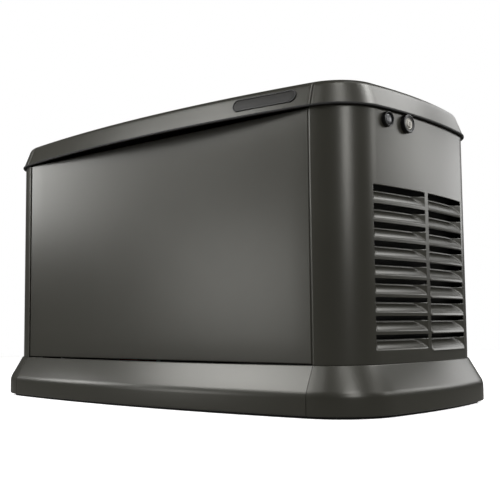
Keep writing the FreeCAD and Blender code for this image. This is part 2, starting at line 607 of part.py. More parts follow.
bezel_right, barrel_right = lock_parts(1)
bezel_left, barrel_left = lock_parts(-1)
node("lock_bezels", group(bezel_right, bezel_left))
node("lock_barrel_right", barrel_right)
node("lock_barrel_left", barrel_left)
lamp = end_frame(1, "-lamp_place")
node("lamp_bezel", ring(("bow_end", "0", "fitting_level"), "X", "lamp_ring", "lamp_core", "lamp_proud", lamp))
node("lamp_lens", rod(("bow_end - wall_thick - 10", "0", "fitting_level"), "X", "lamp_core",
                      "wall_thick + 10 + lamp_proud - 1.5", lamp))

# ---------------------------------------------------------------- cradle
members = [box(("rail_left", "rail_right"),
               (f"{sy} * rail_place - rail_wide / 2", f"{sy} * rail_place + rail_wide / 2"),
               ("rail_low", "rail_top")) for sy in (-1, 1)]
members += [box((low, f"{low} + rail_wide"), ("-rail_place", "rail_place"), ("rail_low", "rail_top"))
            for low in ("rail_left", "rail_right - rail_wide")]
node("engine_cradle", fuse(*members))
node("vibration_mounts", group(*[rod((at_x, f"{sy} * rail_place", FLOOR), "Z", "mount_radius",
                                     f"rail_low - ({FLOOR})")
                                 for at_x in ("mount_left", "mount_right") for sy in (-1, 1)]))

# ---------------------------------------------------------------- engine
CASE = ("case_left", "case_right")
CASE_LONG = "case_right - case_left"
BANKS = {}
for sy, middle in ((-1, "bank_front"), (1, "bank_rear")):
    tilt = FreeCAD.Rotation(V(1, 0, 0), -45 * sy)
    BANKS[sy] = FreeCAD.Placement(V(value(middle), 0, value("crank_level")), tilt)

crank_bore = rod(("case_left - 1", "0", "crank_level"), "X", "crank_radius + turn_gap", f"{CASE_LONG} + 2")
tube_bore = rod(("stick_x", "stick_y", "rail_top + 36"), "Z", "tube_bore", "tube_top")
case = fuse(rod(("case_left", "0", "crank_level"), "X", "case_radius", CASE_LONG),
            box(CASE, ("-sump_half", "sump_half"), ("rail_top", "sump_top")),
            box(("case_right - 15", "case_right"), ("-sump_half - 70", "-sump_half + 5"),
                ("rail_top + 18", "sump_top + 15")),
            rod(("stick_x", "stick_y", "rail_top + 26"), "Z", "tube_radius", "tube_top - rail_top - 26"),
            box(("stick_x - 10", "stick_x + 10"), ("stick_y - 8", "-sump_half + 5"),
                ("rail_top + 26", "sump_top")))
barrel_seats = [box(("-fin_half", "fin_half"), ("-fin_half", "fin_half"), ("barrel_start", "barrel_end"),
                    BANKS[sy]) for sy in (-1, 1)]
node("crankcase", cut(case, crank_bore, tube_bore, *barrel_seats))

barrels, heads, covers, plugs = [], [], [], []
fin_count = int((value("barrel_end") - value("barrel_start") - 12) // value("fin_pitch"))
for sy, frame in BANKS.items():
    fins = [box(("-fin_half", "fin_half"), ("-fin_half", "fin_half"),
                (f"barrel_start + 10 + {k} * fin_pitch", f"barrel_start + 10 + {k} * fin_pitch + fin_thick"),
                frame) for k in range(fin_count)]
    sleeve = rod(("0", "0", "barrel_start"), "Z", "barrel_radius", "barrel_end - barrel_start", frame)
    barrels.append(cut(fuse(sleeve, *fins), rod(("0", "0", "barrel_start - 1"), "Z", "barrel_radius - 9",
                                                "barrel_end - barrel_start - 20", frame)))
    block = box(("-head_half", "head_half"), ("-head_half", "head_half"), ("barrel_end", "head_end"), frame)
    slots = [box(("-head_half - 1", "head_half + 1"), (edge, f"{edge} + 14"),
                 (f"barrel_end + 10 + {k} * 12", f"barrel_end + 10 + {k} * 12 + 6"), frame)
             for edge in ("-head_half - 1", "head_half - 13") for k in range(4)]
    plug_hole = rod(("head_half - plug_in", "0", "barrel_end + plug_up"), "X", "plug_radius", "plug_in + 9",
                    frame)
    heads.append(cut(block, *slots, plug_hole))
    covers.append(box(("8 - head_half", "head_half - 8"), ("12 - head_half", "head_half - 12"),
                      ("head_end", "rocker_end"), frame))
    plugs.append(fuse(rod(("head_half - plug_in", "0", "barrel_end + plug_up"), "X", "plug_radius",
                          "plug_long", frame),
                      rod(("head_half - plug_in + plug_long", "0", "barrel_end + plug_up"), "X",
                          "boot_radius", "boot_long", frame)))
node("cylinder_barrels", group(*barrels))
node("cylinder_heads", group(*heads))
node("rocker_covers", group(*covers))
node("spark_plugs", group(*plugs))

# The shaft with the rotor, and the fan on its free end, turn together.
FAN_LONG = "fan_right - fan_left"
blades = []
for k in range(12):
    frame = FreeCAD.Placement(V(value("fan_left"), 0, value("crank_level")),
                              FreeCAD.Rotation(V(1, 0, 0), 30 * k))
    blades.append(box(("0", f"{FAN_LONG} - 14"), ("-3", "3"), ("54", "fan_radius - 2"), frame))
fan = fuse(rod(("fan_right - 15", "0", "crank_level"), "X", "fan_radius", "15"),
           rod(("fan_left", "0", "crank_level"), "X", "56", f"{FAN_LONG} - 10"), *blades)
node("flywheel_fan", cut(fan, rod(("fan_left - 1", "0", "crank_level"), "X", "crank_radius",
                                  f"{FAN_LONG} + 2")))
node("alternator_rotor", fuse(
    rod(("fan_left + 6", "0", "crank_level"), "X", "crank_radius", "shaft_right - fan_left - 6"),
    box(("can_left + 34", "can_right - 34"), ("-pole_half", "pole_half"),
        ("crank_level - pole_half", "crank_level + pole_half")),
    ring(("can_left + 44", "0", "crank_level"), "X", "rotor_radius", "crank_radius + 30",
         "can_right - can_left - 88")))
blower = cut(rod(("blower_left", "0", "crank_level"), "X", "blower_radius", "case_left - blower_left"),
             rod(("blower_left + blower_wall", "0", "crank_level"), "X", "blower_radius - blower_wall",
                 "case_left - blower_left - 2 * blower_wall"),
             rod(("blower_left - 1", "0", "crank_level"), "X", "90", "blower_wall + 2"),
             rod(("case_left - 10", "0", "crank_level"), "X", "crank_radius + 6", "20"))
node("blower_housing", blower)

# ---------------------------------------------------------------- alternator
CAN_LONG = "can_right - can_left"
can = fuse(rod(("case_right", "0", "crank_level"), "X", "case_radius", "can_left - case_right + 1"),
           rod(("can_left", "0", "crank_level"), "X", "can_radius", CAN_LONG),
           box(("can_left + 60", "can_left + 110"), ("-rail_place - 12", "rail_place + 12"),
               ("rail_top", "crank_level - 90")))
can = cut(can, rod(("case_right + 8", "0", "crank_level"), "X", "case_radius - 12", "can_left - case_right"),
          rod(("can_left + can_wall", "0", "crank_level"), "X", "core_radius", CAN_LONG),
          rod(("can_left + can_wall", "0", "crank_level"), "X", "can_radius - can_wall", "35"),
          rod(("can_right - 35", "0", "crank_level"), "X", "can_radius - can_wall", "40"),
          rod(("case_right - 5", "0", "crank_level"), "X", "crank_radius + turn_gap + 6", CAN_LONG))
node("stator_can", can)
carrier = fuse(rod(("can_right", "0", "crank_level"), "X", "can_radius", "carrier_thick"),
               rod(("can_right + carrier_thick", "0", "crank_level"), "X", "42", "14"))
vents = [rod(("can_right - 1", f"82 * cos({60 * k}) * 1", f"crank_level + 82 * sin({60 * k})"), "X", "20",
             "carrier_thick + 2") for k in range(6)]
node("bearing_carrier", cut(carrier, *vents, rod(("can_right - 1", "0", "crank_level"), "X",
                                                 "crank_radius + turn_gap", "carrier_thick + 30")))
STARTER_Y = "-sump_half - 40"
node("starter_motor", fuse(rod(("case_right", STARTER_Y, "sump_top - 32"), "X", "starter_radius",
                               "starter_long"),
                           rod(("case_right + 20", STARTER_Y, "sump_top + 16"), "X", "14", "80")))
node("oil_filter", rod(("bank_front + 15", "-sump_half - filter_long", "rail_top + 42"), "Y", "filter_radius",
                       "filter_long"))
node("oil_dipstick", fuse(
    rod(("stick_x", "stick_y", "rail_top + 42"), "Z", "stick_radius", "tube_top - rail_top - 36"),
    rod(("stick_x", "stick_y", "tube_top + 0.5"), "Z", "tube_radius + 3", "12"),
    ring(("stick_x - 3", "stick_y", "tube_top + 24"), "X", "14", "9", "6")))

# ---------------------------------------------------------------- intake
UP = f"crank_level + {EXHAUST_ARM}"
inner_y = "(barrel_end + head_end) / 2 * sqrt(0.5) - head_half * sqrt(0.5)"
inner_z = f"{UP} + head_half * sqrt(0.5)"
MIXER_X = "(bank_front + bank_rear) / 2"
runners = []
for sy in (-1, 1):
    frame = FreeCAD.Placement(V(value(MIXER_X), sy * value(inner_y), value(inner_z)),
                              FreeCAD.Rotation(V(1, 0, 0), 45 * sy))
    runners.append(rod(("0", "0", "0"), "Z", "runner_radius", "48", frame))
RUN_Z = f"{inner_z} + 34"
runners.append(rod((MIXER_X, f"34 - ({inner_y})", RUN_Z), "Y", "runner_radius", f"2 * ({inner_y} - 34)"))
runners.append(rod((MIXER_X, "0", RUN_Z), "Z", "runner_radius + 4", f"airbox_low - 33 - ({RUN_Z})"))
for sy in (-1, 1):
    elbow_ball = new("Part::Sphere", "elbow")
    bind(elbow_ball, "Radius", "runner_radius + 2")
    runners.append(place(elbow_ball, (MIXER_X, f"{sy} * (34 - ({inner_y}))", RUN_Z)))

# The hose leaves the mixer level, on the line to the regulator, and turns down onto its spigot.
REGULATOR_MID = "regulator_y + regulator_thick / 2"
HOSE_Z = "airbox_low - hose_drop"
hose_reach = V(value(f"regulator_x - ({MIXER_X})"), value(REGULATOR_MID), 0)
hose_turn = math.degrees(math.atan2(hose_reach.y, hose_reach.x))
hose_frame = FreeCAD.Placement(V(value(MIXER_X), 0, 0), FreeCAD.Rotation(V(0, 0, 1), hose_turn))
mixer = fuse(rod((MIXER_X, "0", "airbox_low - mixer_high"), "Z", "mixer_radius", "mixer_high"),
             rod(("mixer_radius - 6", "0", HOSE_Z), "X", "spigot_radius", "fitting_out + 6", hose_frame))
node("intake_manifold", fuse(*runners, mixer))
airbox = box((f"{MIXER_X} - airbox_left", f"{MIXER_X} + airbox_right"), ("airbox_front", "airbox_rear"),
             ("airbox_low", "airbox_high"))
inside = box((f"{MIXER_X} - airbox_left + airbox_wall", f"{MIXER_X} + airbox_right - airbox_wall"),
             ("airbox_front + airbox_wall", "airbox_rear - airbox_wall"),
             ("airbox_low + airbox_wall", "airbox_high + 1"))
throat = rod((MIXER_X, "0", "airbox_low - 1"), "Z", "mixer_radius - 5", "airbox_wall + 3")
node("air_filter_box", cut(airbox, inside, throat))
node("air_filter_cover", box((f"{MIXER_X} - airbox_left - cover_lip",
                              f"{MIXER_X} + airbox_right + cover_lip"),
                             ("airbox_front - cover_lip", "airbox_rear + cover_lip"),
                             ("airbox_high", "airbox_top")))

# ---------------------------------------------------------------- exhaust
PIPE_START = {-1: "bank_front - head_half", 1: "bank_rear - head_half"}
BORE = "pipe_radius - exhaust_wall"
pipes = [ring(("stub_end", f"{sy} * ({EXHAUST_ARM})", UP), "X", "pipe_radius", BORE,
              f"{PIPE_START[sy]} - stub_end") for sy in (-1, 1)]
node("exhaust_pipes", group(*pipes))
drum = rod(("muffler_place", "-muffler_half", UP), "Y", "muffler_radius", "2 * muffler_half")
stubs = [rod(("muffler_place", f"{sy} * ({EXHAUST_ARM})", UP), "X", "flange_radius",
             "stub_end - muffler_place") for sy in (-1, 1)]
TAIL_START = "muffler_place - muffler_radius - tail_out"
tail = rod((TAIL_START, "0", UP), "X", "tail_radius", "muffler_radius")
legs = [box(("muffler_place - leg_wide / 2", "muffler_place + leg_wide / 2"),
            (f"{sy} * leg_place - leg_thick / 2", f"{sy} * leg_place + leg_thick / 2"), (FLOOR, UP))
        for sy in (-1, 1)]
inside = rod(("muffler_place", "exhaust_wall - muffler_half", UP), "Y", "muffler_radius - exhaust_wall",
             "2 * (muffler_half - exhaust_wall)")
stub_bores = [rod(("muffler_place", f"{sy} * ({EXHAUST_ARM})", UP), "X", BORE, "100") for sy in (-1, 1)]
tail_bore = rod((f"{TAIL_START} - 1", "0", UP), "X", "tail_radius - exhaust_wall", "muffler_radius")
node("muffler", cut(fuse(drum, *stubs, tail, *legs), inside, *stub_bores, tail_bore))

# ---------------------------------------------------------------- fuel
disc = rod(("regulator_x", "regulator_y", "regulator_level"), "Y", "regulator_radius", "regulator_thick")
nose = rod(("regulator_x", "regulator_y - nose_out", "regulator_level"), "Y", "nose_radius", "nose_out + 4")
spigot = rod(("regulator_x", REGULATOR_MID, "regulator_level"), "Z", "spigot_radius",
             "spigot_top - regulator_level")
pillar = box(("regulator_x - 20", "regulator_x + 20"), ("regulator_y + 8", "regulator_y + 30"),
             ("rail_top + 30", "regulator_level"))
foot = box(("regulator_x - 30", "regulator_x + 30"), ("regulator_y - 4", "regulator_y + regulator_thick"),
           (FLOOR, "rail_top + 34"))
node("fuel_regulator", fuse(disc, nose, spigot, pillar, foot))
node("fuel_inlet_pipe", ring(("regulator_x", "regulator_y + regulator_thick", "regulator_level"), "Y",
                             "inlet_radius", "inlet_radius - inlet_wall",
                             "half_width + inlet_out - regulator_y - regulator_thick"))
hose = body("FuelHose")
lane = sketch(hose, "XZ_Plane", "0")
bend = 3 * value("hose_radius")
start = V(value("mixer_radius + fitting_out"), value(HOSE_Z), 0)
stop = V(hose_reach.Length, value("spigot_top"), 0)
lane.addGeometry(Part.LineSegment(start, V(stop.x - bend, start.y, 0)), False)
lane.addGeometry(Part.ArcOfCircle(Part.Circle(V(stop.x - bend, start.y - bend, 0), V(0, 0, 1), bend),
                                  0, math.pi / 2), False)
lane.addGeometry(Part.LineSegment(V(stop.x, start.y - bend, 0), stop), False)
mouth = sketch(hose, "YZ_Plane", "mixer_radius + fitting_out")
circle = mouth.addGeometry(Part.Circle(V(0, start.y, 0), V(0, 0, 1), value("hose_radius")), False)
dimension(mouth, "DistanceY", (-1, 1, circle, 3), HOSE_Z)
dimension(mouth, "Radius", (circle,), "hose_radius")
mouth.addConstraint(Sketcher.Constraint("PointOnObject", circle, 3, -2))
pipe = hose.newObject("PartDesign::AdditivePipe", "run")
pipe.Profile = mouth
pipe.Spine = lane
hose.Placement = hose_frame
node("fuel_hose", hose)

# ---------------------------------------------------------------- controls
SLOPE_HIGH = "box_slope_low + box_slope_run"


def cabinet(inset):
    """Control box section, square at the back and sloped at the front."""
    owner = body("ControlBox")
    points = [(f"box_front + {inset}", f"box_low + {inset}"), (f"box_back - {inset}", f"box_low + {inset}"),
              (f"box_back - {inset}", f"{SLOPE_HIGH} - {inset}"),
              (f"box_front + box_slope_run + {inset} * 0.4", f"{SLOPE_HIGH} - {inset}"),
              (f"box_front + {inset}", f"box_slope_low - {inset} * 0.4")]
    profile = polygon(owner, "YZ_Plane", f"box_left + {inset}", points)
    return pad(profile, f"box_right - box_left - 2 * ({inset})")


slope = FreeCAD.Placement(V(0, value("box_front"), value("box_slope_low")), FreeCAD.Rotation(V(1, 0, 0), 45))
SLOPE_LONG = "box_slope_run * sqrt(2)"
FACE = (("box_left + face_margin", "box_right - face_margin"), ("face_margin", f"{SLOPE_LONG} - face_margin"))
window = box(("box_left + 20", "box_right - 20"), ("20", f"{SLOPE_LONG} - 20"), ("-20", "20"), slope)
stands = [box((low, f"{low} + stand_thick"), ("box_front + 10", "box_back - 10"), (FLOOR, "box_low"))
          for low in ("box_left", "box_right - stand_thick")]
node("control_box", fuse(cut(cabinet("0"), cabinet("box_wall"), window), *stands))
buttons = {name: f"button_x + {k} * button_pitch" for k, name in enumerate(("auto", "off", "manual"))}
face = box(*FACE, ("0", "face_thick"), slope)
button_holes = [rod((at_x, "button_up", "-1"), "Z", "button_radius + button_gap", "face_thick + 2", slope)
                for at_x in buttons.values()]
screen = box(("box_left + screen_in", "box_left + screen_in + screen_long"), ("screen_low", "screen_high"),
             ("face_thick - screen_deep", "face_thick + 1"), slope)
BREAKER = (("breaker_x - breaker_wide / 2", "breaker_x + breaker_wide / 2"),
           (f"({SLOPE_LONG} - breaker_tall) / 2", f"({SLOPE_LONG} + breaker_tall) / 2"))
breaker_hole = box(*BREAKER, ("-1", "face_thick + 1"), slope)
node("control_panel", cut(face, *button_holes, screen, breaker_hole))
for name, at_x in buttons.items():
    node(f"button_{name}", rod((at_x, "button_up", "face_thick + button_proud - button_deep"), "Z",
                               "button_radius", "button_deep", slope))
HANDLE_U = f"{SLOPE_LONG} / 2"
HANDLE_Z = "face_thick + breaker_proud - 8"
breaker = box(*BREAKER, ("-breaker_deep", "face_thick + breaker_proud"), slope)
handle_bay = box(("breaker_x - handle_wide / 2 - 1", "breaker_x + handle_wide / 2 + 1"),
                 (f"{HANDLE_U} - 20", f"{HANDLE_U} + 20"),
                 (f"{HANDLE_Z} - 6", "face_thick + breaker_proud + 1"), slope)
node("main_breaker", cut(breaker, handle_bay))
toggle = slope.multiply(FreeCAD.Placement(V(value("breaker_x"), value(HANDLE_U), value(HANDLE_Z)),
                                          FreeCAD.Rotation(V(1, 0, 0), -value("handle_tilt"))))
node("breaker_handle", fuse(rod(("-handle_wide / 2", "0", "0"), "X", "5", "handle_wide", toggle),
                            box(("-handle_wide / 2", "handle_wide / 2"),
                                ("-handle_thick / 2", "handle_thick / 2"), ("0", "handle_long"), toggle)))

# ---------------------------------------------------------------- battery and conduit
BX = ("battery_left", "battery_left + battery_long")
BY = ("battery_front", "battery_front + battery_wide")
terminals = [rod((at, "battery_front + terminal_in", f"{FLOOR} + battery_high"), "Z", "terminal_radius",
                 "terminal_high") for at in (f"{BX[0]} + terminal_in", f"{BX[1]} - terminal_in")]
node("battery", fuse(box(BX, BY, (FLOOR, f"{FLOOR} + battery_high")), *terminals))
HUB_WALL = "sqrt(bow_front ^ 2 - hub_x ^ 2) - bow_front + half_width"
node("conduit_hub", cut(fuse(rod(("hub_x", f"{HUB_WALL} - 30", "hub_level"), "Y", "hub_radius - 5", "62"),
                             cut(rod(("hub_x", f"{HUB_WALL} - 10", "hub_level"), "Y", "hub_radius", "26"),
                                 cabinet_block)),
                        rod(("hub_x", f"{HUB_WALL} - 60", "hub_level"), "Y", "hub_radius - 10", "120")))

# ---------------------------------------------------------------- fasteners
# The rear panel's screws sit near its two edges, each square to the bowed face.
SCREW_X = "seam_place - screw_in"
rear_turn = math.degrees(math.asin(value(f"({SCREW_X}) / bow_front")))
screws = []
for side in (-1, 1):
    frame = FreeCAD.Placement(V(0, value("half_width - bow_front"), 0),
                              FreeCAD.Rotation(V(0, 0, 1), -side * rear_turn))
    for share in (0.1, 0.5, 0.9):
        screws.append(rod(("0", "bow_front", f"rim_top + {share} * (wall_top - rim_top)"), "Y",
                          "screw_radius", "screw_proud", frame))
node("panel_screws", group(*screws))

# ---------------------------------------------------------------- check and write
doc.recompute()
for thing in doc.Objects:
    if {"Invalid", "Error"} & set(thing.State):
        raise RuntimeError(f"{thing.Label} did not compute: {thing.State}")
os.makedirs("parts", exist_ok=True)
for thing in NODES:
    if thing.Shape.isNull() or not thing.Shape.isValid() or thing.Shape.Volume <= 0:
        raise RuntimeError(f"{thing.Label} is not a valid solid")
    thing.Shape.exportStep(f"parts/{thing.Label}.step")
    print(f"{thing.Label}: {len(thing.Shape.Solids)} solids, {thing.Shape.Volume / 1000:.1f} cm3")
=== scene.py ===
"""Home standby generator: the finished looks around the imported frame, in metres.

+X runs along the cabinet towards the louvred end with the lock and lamp, -Y is the front, +Z is up.
"""

import json
import math

import bmesh
import bpy
import numpy as np
from mathutils import Matrix, Vector


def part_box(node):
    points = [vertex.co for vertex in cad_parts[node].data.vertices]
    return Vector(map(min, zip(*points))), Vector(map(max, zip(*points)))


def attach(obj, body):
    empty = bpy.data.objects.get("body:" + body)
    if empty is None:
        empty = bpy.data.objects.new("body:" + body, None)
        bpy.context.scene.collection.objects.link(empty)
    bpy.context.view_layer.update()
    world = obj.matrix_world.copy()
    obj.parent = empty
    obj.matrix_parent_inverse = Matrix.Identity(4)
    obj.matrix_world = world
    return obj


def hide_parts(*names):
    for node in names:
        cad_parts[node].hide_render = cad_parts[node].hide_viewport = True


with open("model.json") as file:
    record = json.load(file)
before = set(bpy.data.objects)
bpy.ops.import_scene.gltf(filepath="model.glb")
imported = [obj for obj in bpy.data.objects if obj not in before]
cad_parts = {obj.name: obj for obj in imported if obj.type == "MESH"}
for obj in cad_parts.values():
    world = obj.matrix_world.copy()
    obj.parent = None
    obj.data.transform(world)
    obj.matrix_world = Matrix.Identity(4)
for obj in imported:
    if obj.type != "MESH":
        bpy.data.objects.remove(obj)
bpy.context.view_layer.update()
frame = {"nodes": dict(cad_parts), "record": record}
MM = 0.001


# ------------------------------------------------------------------ the cabinet's plan
HALF_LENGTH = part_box("right_end_panel")[1].x
HALF_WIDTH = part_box("rear_panel")[1].y
BOW_FRONT, BOW_END, CORNER = 3565 * MM, 1275 * MM, 121 * MM
SEAM = 490 * MM
SIDE_MID = np.array([0, BOW_FRONT - HALF_WIDTH])
END_MID = np.array([HALF_LENGTH - BOW_END, 0])


def corner_middle():
    """Middle of a corner's arc: where circles about the two bows' middles, each a corner less, meet."""
    apart = np.linalg.norm(END_MID - SIDE_MID)
    toward = (END_MID - SIDE_MID) / apart
    reach = ((BOW_FRONT - CORNER) ** 2 - (BOW_END - CORNER) ** 2 + apart ** 2) / (2 * apart)
    aside = math.sqrt((BOW_FRONT - CORNER) ** 2 - reach ** 2)
    return SIDE_MID + toward * reach + np.array([-toward[1], toward[0]]) * aside


CORNER_MID = corner_middle()
FRONT_TURN = math.atan2(CORNER_MID[0] - SIDE_MID[0], SIDE_MID[1] - CORNER_MID[1])
END_TURN = math.atan2(-CORNER_MID[1] + END_MID[1], CORNER_MID[0] - END_MID[0])
FRONT_RUN = BOW_FRONT * FRONT_TURN
CORNER_RUN = CORNER * (math.pi / 2 - FRONT_TURN - END_TURN)
END_RUN = BOW_END * END_TURN
QUARTER = FRONT_RUN + CORNER_RUN + END_RUN
HALF_ROUND = 2 * QUARTER


def plan(along):
    """Points and outward normals of the plan at distances along it.

    0 is the front's middle, and the distance grows towards +X and round. A quarter is a front arc, a
    corner arc and an end arc; the other quarters mirror it.
    """
    along = np.asarray(along, dtype=float)
    quarter = np.floor(along / QUARTER).astype(int)
    rest = along - quarter * QUARTER
    rest = np.where(quarter % 2 == 0, rest, QUARTER - rest)
    on_front, on_corner = rest < FRONT_RUN, rest < FRONT_RUN + CORNER_RUN
    turn = np.where(on_front, rest / BOW_FRONT,
                    np.where(on_corner, FRONT_TURN + (rest - FRONT_RUN) / CORNER,
                             math.pi / 2 - END_TURN + (rest - FRONT_RUN - CORNER_RUN) / BOW_END))
    normal = np.stack([np.sin(turn), -np.cos(turn)], -1)
    point = np.where(on_front[..., None], SIDE_MID + BOW_FRONT * normal,
                     np.where(on_corner[..., None], CORNER_MID + CORNER * normal, END_MID + BOW_END * normal))
    mirror = np.stack([np.where(np.isin(quarter % 4, (0, 1)), 1, -1),
                       np.where(np.isin(quarter % 4, (0, 3)), 1, -1)], -1)
    return point * mirror, normal * mirror


def front_distance(across):
    """Distance along the plan at which the front has this X."""
    return BOW_FRONT * math.asin(across / BOW_FRONT)


def lifted(along, grow, level):
    """3-D points: the plan at these distances, moved out by grow and up to level, all broadcast together."""
    along, grow, level = np.broadcast_arrays(along, grow, level)
    point, normal = plan(along)
    return np.concatenate([point + normal * grow[..., None], level[..., None]], -1)


# ------------------------------------------------------------------ mesh building
def smoothstep(low, high, value):
    """0 below low, 1 above high, and three squares less two cubes of the share between."""
    share = np.clip((value - low) / (high - low), 0, 1)
    return share * share * (3 - 2 * share)


def build(name, spots, faces, sharp=40, merge=1e-6, outward=False):
    """Mesh object from points and faces: doubles merged, smooth, and sharp past an angle in degrees."""
    mesh = bpy.data.meshes.new(name)
    mesh.from_pydata(np.reshape(spots, (-1, 3)).tolist(), [], faces)
    mesh.validate()
    work = bmesh.new()
    work.from_mesh(mesh)
    bmesh.ops.remove_doubles(work, verts=work.verts, dist=merge)
    if outward:
        bmesh.ops.recalc_face_normals(work, faces=work.faces)
    work.to_mesh(mesh)
    work.free()
    mesh.shade_smooth()
    mesh.set_sharp_from_angle(angle=math.radians(sharp))
    piece = bpy.data.objects.new(name, mesh)
    bpy.context.collection.objects.link(piece)
    return piece


def grid_faces(rows, columns, closed_rows=False, closed_columns=False, flip=False, keep=None):
    """Quads of a grid of points, with either direction closed on itself, and with only the kept cells."""
    down = np.arange(rows if closed_rows else rows - 1)
    across = np.arange(columns if closed_columns else columns - 1)
    i, j = np.meshgrid(down, across, indexing="ij")
    next_i, next_j = (i + 1) % rows, (j + 1) % columns
    quads = np.stack([i * columns + j, i * columns + next_j,
                      next_i * columns + next_j, next_i * columns + j], -1)
    quads = (quads if keep is None else quads[keep]).reshape(-1, 4)
    return (quads[:, ::-1] if flip else quads).tolist()


def sheet_metal(piece, thick):
    """Give a surface its wall, on its inner side."""
    wall = piece.modifiers.new("wall", "SOLIDIFY")
    wall.thickness = thick
    wall.offset = -1
    wall.use_even_offset = True
    wall.use_quality_normals = True
    return piece


def swept(name, sections, sharp=40):
    """Closed bar: one closed section per step of a path, with both ends filled."""
    steps, points = sections.shape[:2]
    ends = [list(range(points)), list(range((steps - 1) * points, steps * points))]
    return build(name, sections, grid_faces(steps, points, closed_columns=True) + ends, sharp, outward=True)


def turned(name, profile, centre, axis, around=64, sharp=35):
    """Lathe shape: a profile of (radius, height) pairs turned about an axis through a centre."""
    radius, height = np.asarray(profile, dtype=float).T
    axis = np.asarray(axis, dtype=float) / np.linalg.norm(axis)
    side = np.cross([0, 0, 1], axis)
    side /= np.linalg.norm(side)
    other = np.cross(axis, side)
    angle = np.linspace(0, 2 * math.pi, around, endpoint=False)[None, :, None]
    spots = (np.asarray(centre) + axis * height[:, None, None]
             + radius[:, None, None] * (np.cos(angle) * side + np.sin(angle) * other))
    return build(name, spots, grid_faces(len(profile), around, closed_columns=True), sharp, outward=True)


def round_profile(corners, radii, steps=6):
    """Polyline through corners with each inner corner rounded by a quadratic curve of that reach."""
    corners = [np.asarray(c, dtype=float) for c in corners]
    out = [corners[0][None]]
    for before, here, after, reach in zip(corners[:-2], corners[1:-1], corners[2:], radii):
        back, on = before - here, after - here
        start = here + back / np.linalg.norm(back) * reach
        stop = here + on / np.linalg.norm(on) * reach
        t = np.linspace(0, 1, steps)[:, None]
        out.append((1 - t) ** 2 * start + 2 * t * (1 - t) * here + t ** 2 * stop)
    out.append(corners[-1][None])
    return np.concatenate(out)


def ring(profile):
    """The profile closed on its own first point, for a turned ring."""
    return np.concatenate([profile, profile[:1]])


def slab(name, outline, origin, across, up, low, high, bevel=0.4 * MM):
    """Plate: a flat outline carried from low to high along across x up, with every edge chamfered.

    The outline is an array of (across, up) pairs; each chamfer scales it in towards its middle.
    """
    across, up = np.asarray(across, dtype=float), np.asarray(up, dtype=float)
    out = np.cross(across, up)
    middle = outline.mean(0)
    reach = np.abs(outline - middle).max(0)
    shrunk = middle + (outline - middle) * (1 - bevel / reach)
    layers = [(shrunk, low), (outline, low + bevel), (outline, high - bevel), (shrunk, high)]
    spots = np.concatenate([np.asarray(origin) + layer[:, :1] * across + layer[:, 1:] * up + out * level
                            for layer, level in layers])
    count = len(outline)
    ends = [list(range(count)), list(range(3 * count, 4 * count))]
    return build(name, spots, grid_faces(4, count, closed_columns=True) + ends, sharp=30, outward=True)


def rounded(wide, high, radius, steps=8):
    """Outline of a rectangle about 0 with rounded corners: a quarter circle turned on at each corner."""
    turn = np.linspace(0, math.pi / 2, steps)
    corner = np.stack([np.cos(turn), np.sin(turn)], -1) * radius
    quarter = np.array([[0, -1], [1, 0]])
    parts = []
    for x, y in ((1, 1), (-1, 1), (-1, -1), (1, -1)):
        parts.append(np.array([x * (wide / 2 - radius), y * (high / 2 - radius)]) + corner)
        corner = corner @ quarter.T
    return np.concatenate(parts)


def joined(name, *pieces):
    """Several pieces as one, each keeping its material."""
    with bpy.context.temp_override(active_object=pieces[0], selected_editable_objects=list(pieces)):
        bpy.ops.object.join()
    pieces[0].name = name
    return pieces[0]


def paint(piece, material):
    """Give a piece one material."""
    piece.data.materials.clear()
    piece.data.materials.append(material)
    return piece


def settle(piece, material, body, slot, *nodes):
    """Dress a piece, make it ride on its body and stand for its nodes."""
    if material is not None:
        paint(piece, material)
    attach(piece, body)
    if nodes:
        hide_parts(*nodes)
    return piece


# ------------------------------------------------------------------ materials
def linear(code):
    """sRGB hex to linear colour with alpha."""
    parts = [int(code[i:i + 2], 16) / 255 for i in (1, 3, 5)]
    return [p / 12.92 if p <= 0.04045 else ((p + 0.055) / 1.055) ** 2.4 for p in parts] + [1.0]


def add(tree, kind, inputs=(), **settings):
    """Add one shader node, set its settings, and set or link each named input."""
    made = tree.nodes.new("ShaderNode" + kind)
    for key, item in settings.items():
        setattr(made, key, item)
    for key, item in dict(inputs).items():
        if isinstance(item, bpy.types.NodeSocket):
            tree.links.new(item, made.inputs[key])
        else:
            made.inputs[key].default_value = item
    return made


